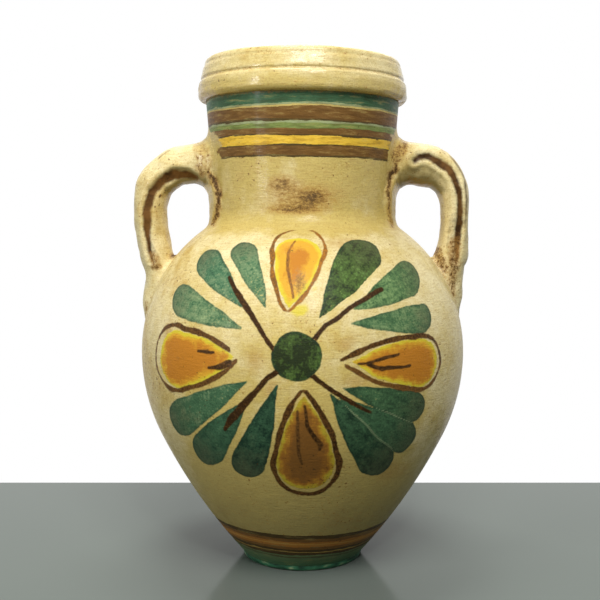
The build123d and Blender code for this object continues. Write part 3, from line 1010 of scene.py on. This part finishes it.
def glaze(name, colours, marks=()):
    """Slip glaze brushed by hand over fired clay, with the painted marks that a piece carries.

    The slip lies in fine brush lines over a warm body, so it looks streaked and mottled, with a soft gloss,
    small pits, old stains, and dirt where creases hold it. Painted shade darkens it low on the bowl, at the
    neck's foot, under the handles' arches, under the collar and in its grooves.
    """
    material, tree, mm = new_material(name)
    cloud, mottle, grain, pits, crumbs = (
        add(tree, "TexNoise", {"Vector": mm, "Scale": 1 / size, "Detail": detail, "Roughness": rough})
        for size, detail, rough in SLIP_NOISES
    )
    level = add(tree, "VectorMath", (mm, (0.13, 0.13, 1.0)), operation="MULTIPLY")
    hairs = add(tree, "TexNoise", {"Vector": level, "Scale": 1 / 1.1, "Detail": 3.0, "Distortion": 0.3})
    axes = add(tree, "SeparateXYZ", (mm,)).node.outputs
    share = add(tree, "Math", (axes[2], JAR_HEIGHT), operation="DIVIDE")
    # Straw by height, full near the middle of the front and back and fainter to the sides; low on the bowl,
    # at the neck's foot and on the collar's lower band it is painted shade.
    thin, fresh = (
        ramped(tree, share, [(height, (amount,) * 3, 1) for height, amount in table])[0]
        for table in (SLIP_STRAW_AND_SHADE, GLOSS)
    )
    aside = add(tree, "Math", (axes[0],), operation="ABSOLUTE")
    middle = add(tree, "MapRange", (aside, 72.0, 92.0, 1.0, 0.15))
    uneven = weighed(tree, mottle, (cloud, 0.9), (thin, middle))
    spots = weighed(tree, pits, (cloud, 0.4))
    full = 0.88 if "stripe" in marks else 0.78
    shade = washed(
        tree,
        colours.cream,
        (colours.straw, uneven, full, full + 0.48, 1.0),
        (colours.honey, hairs, 0.48, 0.8, 0.44),
        (colours.honey, grain, 0.47, 0.74, 0.44),
        (colours.tan, weighed(tree, mottle, (cloud, 1.4)), 1.34, 1.8, 0.6),
        # Painted shade, darker towards the bottom of the bowl.
        (colours.painted_shade, weighed(tree, share, (mottle, -0.1)), 0.28, 0.06, 0.6),
        (colours.tan, spots, 0.82, 0.95, 0.45),
    )
    masks = []
    if "rosette" in marks:
        shade, masks = rosette_paint(tree, shade, colours, mm, mottle)
    if "foot" in marks or "neck" in marks:
        shade, mask = band_paint(tree, shade, colours, mm, axes, "neck" in marks)
        masks.append(mask)
    if "stripe" in marks:
        # Painted shade under the handles' arches, where their clay faces down.
        under = add(tree, "Attribute", out="Fac", attribute_name="underside")
        shade = washed(tree, shade, (colours.painted_shade, weighed(tree, under, (mottle, 0.6)), 0.45, 1.2, 0.8))
        brown = washed(tree, colours.brown, (colours.worn_brown, mottle, 0.36, 0.62, 0.9))
        shade, mask = painted(tree, shade, brown, "line", 0.32, 0.17, mm, 4.0)
        masks.append(mask)
    shade = washed(tree, shade, (colours.grime, spots, 0.93, 0.99, 0.75))
    if "smudge" in marks:
        given = add(tree, "Attribute", out="Fac", attribute_name="smudge")
        rubbed = add(tree, "VectorMath", (mm, (0.5, 0.5, 1.0)), operation="MULTIPLY")
        blot = add(tree, "TexNoise", {"Vector": rubbed, "Scale": 1 / 1.8, "Detail": 8.0, "Roughness": 0.82})
        deep = add(tree, "Math", (given, weighed(tree, -1.2, (blot, 4.0))), operation="MULTIPLY")
        dirty = ((colours.tan, deep, 0.07, 0.45, 0.75), (colours.grime, deep, 0.34, 0.85, 0.85))
        shade = washed(tree, shade, *dirty)
    # Dirt in creases, with painted shade under the collar, in its grooves and under the right handle's arch.
    heap = weighed(tree, crumbs, (add(tree, "Attribute", out="Fac", attribute_name="grime"), 0.56))
    shade = washed(tree, shade, (colours.tan, heap, 0.66, 0.95, 0.8))
    dirt_and_shade = add(tree, "MapRange", (heap, 0.82, 1.02, 0.0, 0.95))
    shade = add(tree, "Mix", {0: dirt_and_shade, 6: shade, 7: colours.grime}, out=2, data_type="RGBA")
    gloss = add(tree, "MapRange", (mottle, 0.3, 0.7, 0.36, 0.55))
    covered = dirt_and_shade
    for mask in masks:
        covered = add(tree, "Math", (covered, mask), operation="MAXIMUM")
    clear = add(tree, "MapRange", (covered, 0.0, 1.0, 1.0, 0.25))
    patchy = add(tree, "MapRange", (mottle, 0.36, 0.56))
    coat = add(tree, "Math", (clear, patchy), operation="MULTIPLY")
    relief = weighed(tree, grain, (hairs, 1.0), (mottle, 2.5), *((mask, 0.35) for mask in masks))
    surface = {
        "Base Color": shade,
        "Roughness": weighed(tree, gloss, (dirt_and_shade, 0.35)),
        "Normal": add(tree, "Bump", {"Strength": 0.5, "Distance": 0.0005, "Height": relief}),
        "IOR": 1.5,
        "Specular IOR Level": 0.08,
        "Coat Weight": add(tree, "Math", (coat, fresh), operation="MULTIPLY"),
        "Coat Roughness": 0.17,
        "Coat Normal": add(tree, "Bump", {"Strength": 0.4, "Distance": 0.0003, "Height": hairs}),
    }
    return surfaced(material, surface)


def rosette_paint(tree, shade, colours, mm, mottle):
    """The rosette's greens, petals, pale strokes and brown lines over the slip."""
    brush = add(tree, "Attribute", out="Vector", attribute_name="brush")
    drawn = add(tree, "VectorMath", (brush, (1.0, 0.1, 1.0)), operation="MULTIPLY")
    noises = ((drawn, 3.2, 4.0, 0.55), (mm, 7.5, 6.0, 0.64), (mm, 1.6, 4.0, 0.5), (mm, 2.2, 7.0, 0.75))
    streak, blotch, fleck, fine = (
        add(tree, "TexNoise", {"Vector": place, "Scale": 1 / size, "Detail": detail, "Roughness": rough})
        for place, size, detail, rough in noises
    )
    tone, warm, run, edge, seam, scratch, depth, bright, shaded, stain, smear, worn, wear = (
        add(tree, "Attribute", out="Fac", attribute_name=key)
        for key in (
            "leaf_tone", "leaf_warm", "leaf_run", "leaf", "leaf_seam", "scratch", "petal", "petal_light",
            "petal_shade", "stain", "smear", "worn", "wear",
        )
    )
    light = weighed(tree, -0.94, (streak, 0.4), (blotch, 0.85), (fleck, 0.55))
    light = weighed(tree, tone, (light, weighed(tree, 0.9, (warm, 0.8))))
    cool, grassy = (
        ramped(tree, light, [(place, tint, 1) for place, tint in zip((0.12, 0.55, 1.0), tints)])[0]
        for tints in (
            (colours.leaf_dark, colours.leaf, colours.leaf_light),
            (colours.hub_dark, colours.hub, colours.hub_light),
        )
    )
    green = washed(
        tree,
        add(tree, "Mix", {0: warm, 6: cool, 7: grassy}, out=2, data_type="RGBA"),
        (colours.grey_green, weighed(tree, run, (blotch, 0.9)), 1.05, 1.45, 0.6),
        (colours.straw, weighed(tree, fleck, (scratch, 0.2)), 0.74, 0.9, 0.7),
        (colours.leaf_dark, fleck, 0.4, 0.28, 0.45),
        (colours.leaf_dark, weighed(tree, edge, (blotch, 0.6)), 1.62, 1.36, 0.4),
        (colours.leaf_light, add(tree, "Math", (seam, streak), operation="MULTIPLY"), 0.15, 0.6, 0.7),
    )
    # Painted light: petals marked bright get less orange in their core.
    core = weighed(tree, 0.0, (streak, 0.7), (depth, 0.5), (blotch, 1.3), (bright, -0.3))
    petal = washed(
        tree,
        colours.yellow,
        (colours.gold, weighed(tree, depth, (blotch, 0.9)), 1.6, 1.85, 1.0),
        (colours.orange, core, 1.52, 1.84, 1.0),
        # Painted shade: worn brown over the petals marked shaded, most on the bottom petal.
        (colours.worn_brown, weighed(tree, core, (shaded, 1.1)), 2.6, 3.2, 0.85),
        (colours.worn_brown, shaded, 0.0, 1.0, 0.4),
    )
    shade = washed(tree, shade, (colours.tan, weighed(tree, stain, (mottle, 1.6)), 1.05, 2.1, 0.55))
    shade, leaf_mask = painted(tree, shade, green, "leaf", 0.2, 0.07, mm, 4.0)
    ground = washed(tree, colours.cream, (colours.straw, mottle, 0.25, 0.65, 1.0))
    shade, _ = painted(tree, shade, ground, "pale", 0.2, 0.05, mm, 2.5)
    shade, petal_mask = painted(tree, shade, petal, "petal", 0.3, 0.07, mm, 4.0)
    scuff_and_sheen = weighed(tree, worn, (fine, 2.0))
    shade = washed(
        tree,
        shade,
        (colours.yellow, weighed(tree, smear, (blotch, 1.2)), 1.0, 1.4, 0.9),
        # Faint painted sheen in cream over the rubbed patch, then worn brown where it is rubbed most.
        (colours.cream, scuff_and_sheen, 1.5, 1.9, 0.12),
        (colours.worn_brown, scuff_and_sheen, 1.62, 2.1, 0.75),
    )
    thin = weighed(tree, wear, (fleck, 1.0), (blotch, 0.5))
    worn_coats = ((colours.worn_brown, thin, 0.85, 1.35, 1.0), (colours.orange, thin, 1.4, 1.75, 0.6))
    brown = washed(tree, colours.brown, *worn_coats)
    shade, line_mask = painted(tree, shade, brown, "line", 0.2, 0.07, mm, 3.2)
    return shade, [leaf_mask, petal_mask, line_mask]


# Bands round the neck and round the foot, from below: where each begins, its colour and how well it covers.
NECK_BANDS = (
    (318.0, "worn_brown", 0.0), (319.9, "brown", 0.9), (321.2, "worn_brown", 0.95), (328.3, "brown", 0.9),
    (329.1, "band_yellow", 0.95), (335.3, "brown", 0.9), (336.4, "worn_brown", 0.95),
    (341.0, "pale_green", 0.95), (344.4, "leaf_light", 0.9), (346.0, "brown", 0.9),
    (347.4, "worn_brown", 0.95), (356.2, "straw", 0.6), (357.6, "leaf_light", 0.9),
    (358.8, "band_green", 0.95),
)
FOOT_BANDS = (
    (0.0, "leaf_dark", 0.9), (3.5, "band_green", 0.9), (7.6, "leaf", 0.9), (10.6, "leaf", 0.85),
    (14.2, "leaf_dark", 0.8), (15.4, "leaf", 0.8), (16.6, "brown", 0.9), (19.4, "honey", 0.75),
    (20.3, "brown", 0.9), (23.0, "worn_brown", 0.95), (25.6, "ochre", 0.95), (27.6, "orange", 0.6),
    (29.0, "ochre", 0.95), (30.6, "worn_brown", 0.95), (33.8, "brown", 0.9), (37.6, "brown", 0.0),
)


def band_paint(tree, shade, colours, mm, axes, on_neck):
    """Painted bands round the neck, or round the bowl above the foot."""
    around = add(tree, "VectorMath", (mm, (0.16, 0.16, 1.0)), operation="MULTIPLY")
    unsteady = add(tree, "TexNoise", {"Vector": around, "Scale": 1 / 7, "Detail": 5.0})
    brushy = add(tree, "TexNoise", {"Vector": around, "Scale": 1 / 2.8, "Detail": 6.0, "Roughness": 0.68})
    frayed = weighed(tree, axes[2], (axes[0], 0.012), (unsteady, 3.4), (brushy, 3.4))
    height = add(tree, "Math", (frayed, 3.4), operation="SUBTRACT")
    neck, foot = (NECK_BANDS, 318.0, 372.0, 0.62), (FOOT_BANDS, 0.0, 45.0, 0.15)
    bands, low, high, thickest = neck if on_neck else foot
    share = add(tree, "MapRange", (height, low, high))
    stops = [((start - low) / (high - low), getattr(colours, key), cover) for start, key, cover in bands]
    paint, strength = ramped(tree, share, stops, "CONSTANT")
    # Thicker brushwork darkens the bands in streaks.
    dark = add(tree, "MapRange", (brushy, 0.47, 0.6, 0.0, thickest))
    streaked = {0: dark, 6: paint, 7: (0.4, 0.3, 0.22)}
    paint = add(tree, "Mix", streaked, out=2, data_type="RGBA", blend_type="MULTIPLY")
    covers = [
        add(tree, "Attribute", out="Fac", attribute_name="outside"),
        add(tree, "MapRange", (brushy, 0.34, 0.46, 0.66, 1.0)),
    ]
    if on_neck:
        aside = add(tree, "Math", (axes[0], 2.2), operation="SUBTRACT")
        apart = add(tree, "Math", (aside,), operation="ABSOLUTE")
        ragged = weighed(tree, apart, (unsteady, 26.0), (brushy, 10.0))
        stop = add(tree, "MapRange", (ragged, 85.5, 84.0))
        upper = add(tree, "MapRange", (height, 341.0, 341.6))
        covers.append(add(tree, "Math", (stop, upper), operation="MAXIMUM"))
    for cover in covers:
        strength = add(tree, "Math", (strength, cover), operation="MULTIPLY")
    return add(tree, "Mix", {0: strength, 6: shade, 7: paint}, out=2, data_type="RGBA"), strength


def bare_clay(name, colours):
    """Fired clay without glaze, as on the inside seams and under the foot: dull, gritty and patchy."""
    material, tree, mm = new_material(name)
    cloud = add(tree, "TexNoise", {"Vector": mm, "Scale": 1 / 16, "Detail": 4.0})
    grit = add(tree, "TexNoise", {"Vector": mm, "Scale": 1 / 0.9, "Detail": 2.0})
    surface = {
        "Base Color": washed(tree, colours.clay, (colours.honey, cloud, 0.4, 0.7, 0.5)),
        "Roughness": 0.85,
        "Normal": add(tree, "Bump", {"Strength": 0.5, "Distance": 0.0004, "Height": grit}),
        "IOR": 1.5,
    }
    return surfaced(material, surface)


def green_foot(name, colours):
    """Green glaze brushed round the foot disc, over clay that is left bare underneath and inside the jar.

    The brush leaves darker and lighter streaks, with a soft gloss against the dull clay.
    """
    material, tree, mm = new_material(name)
    along = add(tree, "VectorMath", (mm, (0.3, 0.3, 1.0)), operation="MULTIPLY")
    cloud = add(tree, "TexNoise", {"Vector": along, "Scale": 1 / 3.5, "Detail": 6.0})
    tones = ((0.36, colours.leaf_dark), (0.56, colours.band_green), (0.72, colours.leaf_light))
    glazed = ramped(tree, cloud, [(share, tone, 1) for share, tone in tones])[0]
    height = add(tree, "SeparateXYZ", (mm,), out=2)
    edge = add(tree, "MapRange", (weighed(tree, height, (cloud, 1.2)), 0.7, 1.1))
    below_floor = add(tree, "Math", (height, 6.0), operation="LESS_THAN")
    edge = add(tree, "Math", (edge, below_floor), operation="MULTIPLY")
    surface = {
        "Base Color": add(tree, "Mix", {0: edge, 6: colours.clay, 7: glazed}, out=2, data_type="RGBA"),
        "Roughness": add(tree, "MapRange", (edge, 0.0, 1.0, 0.85, 0.42)),
        "Normal": add(tree, "Bump", {"Strength": 0.3, "Distance": 0.0004, "Height": cloud}),
        "IOR": 1.5,
        "Specular IOR Level": 0.16,
    }
    return surfaced(material, surface)


def polished_floor(name, colours):
    """Polished stone: grey-green, a little cloudy, and smooth enough to mirror the jar faintly."""
    material, tree, mm = new_material(name)
    cloud = add(tree, "TexNoise", {"Vector": mm, "Scale": 3 / 500, "Detail": 2.0})
    seen = {0: seen_from_outside(tree), 6: colours.table_shade, 7: colours.table}
    surface = {
        "Base Color": add(tree, "Mix", seen, out=2, data_type="RGBA"),
        "Roughness": add(tree, "MapRange", (cloud, 0.0, 1.0, 0.1, 0.16)),
        "IOR": 1.18,
    }
    return surfaced(material, surface)


def bent(start, corner, stop, count):
    """Points along a curve from start to stop that leans towards a corner."""
    share = np.linspace(0, 1, count)[:, None]
    return (1 - share) ** 2 * start + 2 * share * (1 - share) * corner + share**2 * stop


def rounded(points, corner, radius, count=5):
    """Replaces one corner of a section by a small arc."""
    before, here, after = (np.asarray(points[(corner + i) % len(points)], float) for i in (-1, 0, 1))
    to_before, to_after = before - here, after - here
    start = here + to_before / np.hypot(*to_before) * radius
    stop = here + to_after / np.hypot(*to_after) * radius
    arc = bent(start, here, stop, count)
    return list(points[:corner]) + [tuple(p) for p in arc] + list(points[corner + 1 :])


def paired(radius, height):
    """Section points from separate radii and heights."""
    return list(zip(np.asarray(radius).tolist(), np.asarray(height).tolist()))


def form_of(context):
    """The jar's lines for the sizes set in the sidebar."""
    return JarForm(context.scene.jar_sizes)


class JAR_OT_floor_slab(bpy.types.Operator):
    """Adds the foot disc with the floor above it"""

    bl_idname = "jar.floor_slab"
    bl_label = "Foot and floor"

    def execute(self, context):
        form, colours = form_of(context), context.scene.jar_colours
        edge = [(form.foot_radius, 0.0), (form.foot_radius, form.foot_edge)]
        section = [(r, 0.0) for r in np.linspace(0, form.foot_radius - 3, 12)] + edge
        section = rounded(section, 12, 3.4, 8)
        section += [(form.floor_radius, form.foot_edge), (form.floor_radius, form.floor_top)]
        section += [(r, form.floor_top) for r in np.linspace(form.floor_radius - 1, 0, 14)]
        piece = thrown("foot_and_floor", section, green_foot("Green glazed foot", colours), form, 180)
        settle(piece, "floor_slab")
        return {"FINISHED"}


class JAR_OT_body_walls(bpy.types.Operator):
    """Adds the two thrown sections of the body, with the painted rosette"""

    bl_idname = "jar.body_walls"
    bl_label = "Body walls"

    def execute(self, context):
        form, colours = form_of(context), context.scene.jar_colours
        wall, tongue = form.body_wall, form.belly_radius - form.body_wall / 2
        top = form.belly_height + form.lap_height
        lap = form.climb(top)
        low = np.linspace(0, form.belly_climb, 165)
        inner_low = np.linspace(form.belly_climb, 0, 34)
        lap_in = form.wall_line(np.array([lap, form.belly_climb + 3]), wall)
        section = paired(*form.wall_line(low)) + [(tongue, form.belly_height), (tongue, top)]
        section += paired(*lap_in) + paired(*form.wall_line(inner_low, wall))
        section += [(form.floor_radius + SLIP_GAP, form.foot_edge), (form.foot_radius, form.foot_edge)]
        material = glaze("Painted slip glaze, bowl", colours, ("rosette", "foot"))
        bowl = thrown("bowl", section, material, form, 400, 0.55)
        high = np.linspace(form.belly_climb, form.wall_top, 118)
        inner_high = np.linspace(form.wall_top - 4, lap, 30)
        section = paired(*form.wall_line(high))
        bore = form.neck_base_radius - form.neck_wall / 2 + SLIP_GAP
        section += [(bore, form.crease), (bore, form.wall_line(inner_high[:1], wall)[1][0])]
        section += paired(*form.wall_line(inner_high, wall))
        section += [(tongue + SLIP_GAP, top), (tongue + SLIP_GAP, form.belly_height)]
        section += [(form.belly_radius, form.belly_height)]
        material = glaze("Painted slip glaze, shoulder", colours, ("rosette",))
        shoulder = thrown("shoulder", section, material, form, 400, 0.55)
        for piece, node in ((bowl, "lower_wall"), (shoulder, "upper_wall")):
            paint_rosette(piece, form)
            soil_and_shade(piece, form)
            settle(piece, node)
        return {"FINISHED"}


class JAR_OT_neck(bpy.types.Operator):
    """Adds the flaring neck with its painted bands"""

    bl_idname = "jar.neck"
    bl_label = "Neck"

    def execute(self, context):
        form, colours = form_of(context), context.scene.jar_colours
        spigot = form.neck_base_radius - form.neck_wall / 2
        bore = form.neck_base_radius - form.neck_wall
        foot, top = form.crease - SPIGOT, form.rim_base + form.rim_socket
        up = np.linspace(form.crease, form.rim_base, 110)
        down = np.linspace(form.rim_base, form.crease, 30)
        section = [(bore, foot), (spigot, foot), (spigot, form.crease)]
        section += paired(form.neck_radius(up), up) + [(form.neck_top_radius, top)]
        section += [(form.neck_top_radius - form.neck_wall, top)]
        section += paired(form.neck_radius(down) - form.neck_wall, down) + [(bore, foot)]
        material = glaze("Banded slip glaze, neck", colours, ("neck", "smudge"))
        piece = thrown("neck_wall", section, material, form, 360, 0.3)
        smudge(piece, form)
        soil_and_shade(piece, form)
        settle(piece, "neck")
        return {"FINISHED"}


class JAR_OT_rim_collar(bpy.types.Operator):
    """Adds the collar round the mouth, with its turned groove and rounded lip"""

    bl_idname = "jar.rim_collar"
    bl_label = "Rim collar"

    def execute(self, context):
        form, colours = form_of(context), context.scene.jar_colours
        socket = form.neck_top_radius + SLIP_GAP
        low = form.rim_base
        height = np.linspace(0, form.rim_height - form.lip_height, 90)
        radius = form.neck_top_radius + form.rim_overhang - form.rim_taper * height / form.rim_height
        radius = radius + 0.6 * soft_ridge(height, 8, 6) - 0.9 * np.clip((height - 13.5) / 3, 0, 1)
        radius = radius - 1.9 * np.clip((height - 16) / 11.5, 0, 1) ** 1.6
        grooves = ((form.groove_rise, form.groove_depth - 0.6, 1.1), (form.line_rise, 0.16, 1.2))
        for rise, deep, wide in grooves:
            radius = radius - deep * soft_ridge(height, rise, wide)
        turned = np.clip(1 - height / 5.0, 0, 1)
        radius = radius - 4.0 * (1 - np.sqrt(1 - turned**2))
        section = [(socket, low)] + paired(radius, height + low)
        inner = form.neck_top_radius - form.neck_wall
        middle, half = (radius[-1] + inner) / 2, (radius[-1] - inner) / 2
        turn = np.linspace(0, math.pi, 22)[1:]
        lip = form.rim_top - form.lip_height
        section += paired(middle + half * np.cos(turn), lip + form.lip_height * np.sin(turn) ** 0.9)
        foot = low + form.rim_socket
        section += [(inner, z) for z in np.linspace(lip - 1, foot, 10)] + [(socket, foot), (socket, low)]
        material = glaze("Slip glaze, collar", colours)
        piece = thrown("rim_collar_turned", section, material, form, 300, 0.2, wobble=2.0, lump=45.0)
        soil_and_shade(piece, form)
        uneven = places(piece)
        plan = uneven[:, :2]
        edge = np.clip(1 - (uneven[:, 2] - low) / 9, 0, 1) * (np.hypot(*plan.T) > socket + 1)
        lip_edge = np.clip((uneven[:, 2] - lip) / 4, 0, 1)
        uneven[:, 2] += 0.6 * waver(plan, 42, 6) * edge + 0.25 * waver(plan, 60, 9) * lip_edge
        uneven[:, 2] -= 0.009 * uneven[:, 0]
        piece.data.vertices.foreach_set("co", (uneven * MM).ravel())
        settle(piece, "rim_collar")
        return {"FINISHED"}


class JAR_OT_handles(bpy.types.Operator):
    """Adds the two pulled strap handles with their painted stripes"""

    bl_idname = "jar.handles"
    bl_label = "Handles"

    def execute(self, context):
        form, colours = form_of(context), context.scene.jar_colours
        material = glaze("Striped slip glaze, handles", colours, ("stripe",))
        for side in STRAPS:
            strap = PulledStrap(form, side)
            collar = strap.smear(strap.root - 14, strap.root + 40, 0.85, 9.0, (72, 60))
            tail = strap.smear(180.0, 262.0, 0.46, 6.0, (60, 70))
            piece = modelled(f"{side}_strap", (strap.strap(), collar, tail), material)
            mark(piece, "line", strap.stripe(places(piece)))
            # Painted shade: where the arch's clay faces down.
            normal = np.zeros(len(piece.data.vertices) * 3)
            piece.data.vertices.foreach_get("normal", normal)
            arch = np.clip((places(piece)[:, 2] - 284) / 12, 0, 1)
            mark(piece, "underside", np.clip(-1.6 * normal[2::3] - 0.1, 0, 1) * arch)
            mark(piece, "grime", grime_and_shade_at(form, places(piece)))
            settle(piece, f"{side}_handle")
        return {"FINISHED"}


class JAR_OT_neck_pads(bpy.types.Operator):
    """Adds the clay bands on the neck inside the handles' loops"""

    bl_idname = "jar.neck_pads"
    bl_label = "Neck pads"

    def execute(self, context):
        form, colours = form_of(context), context.scene.jar_colours
        material = glaze("Slip glaze, neck pads", colours)
        for side in STRAPS:
            strap = PulledStrap(form, side)
            band = strap.smear(form.crease - 18, strap.root - 8, 0.72, 8.0, (80, 64))
            piece = modelled(f"{side}_neck_band", [band], material)
            mark(piece, "grime", grime_and_shade_at(form, places(piece)))
            settle(piece, f"{side}_neck_pad")
        return {"FINISHED"}


class JAR_OT_seam_coils(bpy.types.Operator):
    """Adds the fillet round the neck's foot and the coils over the inside seams"""

    bl_idname = "jar.seam_coils"
    bl_label = "Seam coils"

    def execute(self, context):
        form, colours = form_of(context), context.scene.jar_colours
        height = np.linspace(form.crease - 16, form.crease + 18, 60)
        radius = form.filleted_radius(height)
        radius = radius - feathered(radius - form.outer_radius(height))
        back = form.neck_base_radius - 2.0
        section = [(back, height[0])] + paired(radius, height) + [(back, height[-1]), (back, height[0])]
        material = glaze("Slip glaze, neck fillet", colours, ("smudge",))
        fillet = thrown("neck_fillet", section, material, form, 360, 0.3)
        smudge(fillet, form)
        mark(fillet, "grime", grime_and_shade_at(form, places(fillet)))
        settle(fillet, "neck_seam_coil")
        clay = bare_clay("Bare fired clay, seams", colours)
        inside = form.body_wall + SLIP_GAP
        middle, half, thick = form.climb(form.belly_height + form.lap_height), 7.0, 3.0
        along = np.linspace(-half, half, 20)
        bead = form.wall_line(middle + along, inside)
        face = form.wall_line(middle + along[::-1], inside)
        swell = thick * (1 - (along / half) ** 2)
        section = paired(*bead)[1:-1] + paired(face[0] - swell, face[1])
        section = section + section[:1]
        coil = thrown("belly_coil", section, clay, form, 200, wobble=2.0)
        settle(coil, "belly_seam_coil")
        floor, rise = form.floor_top, 9.0
        head = np.ravel(form.wall_line(np.array([form.climb(floor + rise)]), inside))
        toe = np.array((form.floor_radius - rise, floor + 0.1))
        bend = np.array((form.floor_radius + 1.5, floor + 1.0))
        curve = bent(head, bend, toe, 26)
        corner = form.wall_line(np.array([form.climb(floor + 3)]), inside)
        section = [(toe[0], floor + 0.05), (form.floor_radius - 1, floor + 0.05)] + paired(*corner)
        section += paired(*curve.T) + section[:1]
        coil = thrown("floor_coil", section, clay, form, 160, wobble=2.0)
        settle(coil, "floor_seam_coil")
        return {"FINISHED"}


def seen_from_outside(tree):
    """1 for what the camera sees straight, mirrored or through glass, and 0 for the light that it gives."""
    path = add(tree, "LightPath").node.outputs
    seen = add(tree, "Math", (path["Is Camera Ray"], path["Is Glossy Ray"]), operation="MAXIMUM")
    return add(tree, "Math", (seen, path["Is Transmission Ray"]), operation="MAXIMUM")


# Soft lamps: name, place and size in metres, and power in watts. Each looks at the jar's middle.
LAMPS = (
    ("Key softbox", (0.14, -1.12, 1.6), (0.9, 0.8), 23.4),
    ("Top softbox", (-0.1, 0.15, 1.9), (0.7, 0.5), 14.0),
    ("Side strip", (-1.1, -0.85, 0.6), (0.08, 0.7), 5.0),
    ("Front softbox", (0.2, -1.33, 1.2), (0.11, 0.11), 4.2),
    ("Low window", (-1.02, -0.98, 0.155), (0.05, 0.12), 0.9),
    ("Back softbox", (0.2, 1.3, 1.5), (1.2, 0.9), 6.0),
)
LAMP_TARGET = (0, 0, 0.22)


class JAR_OT_stage(bpy.types.Operator):
    """Adds the polished floor, the soft lights and the camera"""

    bl_idname = "jar.stage"
    bl_label = "Floor, light and camera"

    def execute(self, context):
        scene, colours = context.scene, context.scene.jar_colours
        mesh = bpy.data.meshes.new("floor")
        x, front, back = 1.6, -1.6, 0.206
        mesh.from_pydata([(-x, front, 0), (x, front, 0), (x, back, 0), (-x, back, 0)], [], [(0, 1, 2, 3)])
        mesh.materials.append(polished_floor("Polished stone floor", colours))
        link_piece("floor", mesh)
        for label, spot, size, power in LAMPS:
            lamp = bpy.data.lights.new(label, "AREA")
            lamp.shape, lamp.energy = "RECTANGLE", power
            lamp.size, lamp.size_y = size
            light = bpy.data.objects.new(label, lamp)
            light.location = spot
            aim = np.subtract(LAMP_TARGET, spot)
            tilt = math.acos(-aim[2] / np.linalg.norm(aim))
            light.rotation_euler = (tilt, 0, math.atan2(aim[0], -aim[1]) + math.pi)
            scene.collection.objects.link(light)
        world = bpy.data.worlds.new("White studio")
        scene.world = world
        world.use_nodes = True
        tree = world.node_tree
        tree.nodes.clear()
        strength = add(tree, "MapRange", (seen_from_outside(tree), 0.0, 1.0, 0.08, 1.0))
        sky = add(tree, "Background", {"Color": (1, 1, 1), "Strength": strength})
        add(tree, "OutputWorld", {"Surface": sky})
        lens = bpy.data.cameras.new("Camera")
        lens.sensor_width, lens.lens = 36.0, 56.4
        camera = bpy.data.objects.new("Camera", lens)
        camera.location = (-0.002, -0.765, 0.2708)
        camera.rotation_euler = (math.radians(90 - 4.59), 0, 0)
        scene.collection.objects.link(camera)
        scene.camera = camera
        scene.view_settings.view_transform = "Standard"
        return {"FINISHED"}


PIECES = (
    JAR_OT_floor_slab,
    JAR_OT_body_walls,
    JAR_OT_neck,
    JAR_OT_rim_collar,
    JAR_OT_handles,
    JAR_OT_neck_pads,
    JAR_OT_seam_coils,
    JAR_OT_stage,
)


class JAR_PT_panel(bpy.types.Panel):
    """Lists the jar's pieces, sizes and colours"""

    bl_label = "Painted jar"
    bl_idname = "JAR_PT_panel"
    bl_space_type = "VIEW_3D"
    bl_region_type = "UI"
    bl_category = "Jar"

    def draw(self, context):
        for operator in PIECES:
            self.layout.operator(operator.bl_idname)
        for group in (context.scene.jar_sizes, context.scene.jar_colours):
            box = self.layout.box()
            for key in type(group).__annotations__:
                box.prop(group, key)


CLASSES = (JarSizes, JarColours, *PIECES, JAR_PT_panel)


def register():
    """Registers the classes and the sidebar's values."""
    for kind in CLASSES:
        bpy.utils.register_class(kind)
    bpy.types.Scene.jar_sizes = bpy.props.PointerProperty(type=JarSizes)
    bpy.types.Scene.jar_colours = bpy.props.PointerProperty(type=JarColours)


def unregister():
    """Removes the sidebar's values and the classes."""
    del bpy.types.Scene.jar_colours
    del bpy.types.Scene.jar_sizes
    for kind in reversed(CLASSES):
        bpy.utils.unregister_class(kind)


def main():
    register()
    bpy.ops.jar.floor_slab()
    bpy.ops.jar.body_walls()
    bpy.ops.jar.neck()
    bpy.ops.jar.rim_collar()
    bpy.ops.jar.handles()
    bpy.ops.jar.neck_pads()
    bpy.ops.jar.seam_coils()
    bpy.ops.jar.stage()


if __name__ == "__main__":
    main()
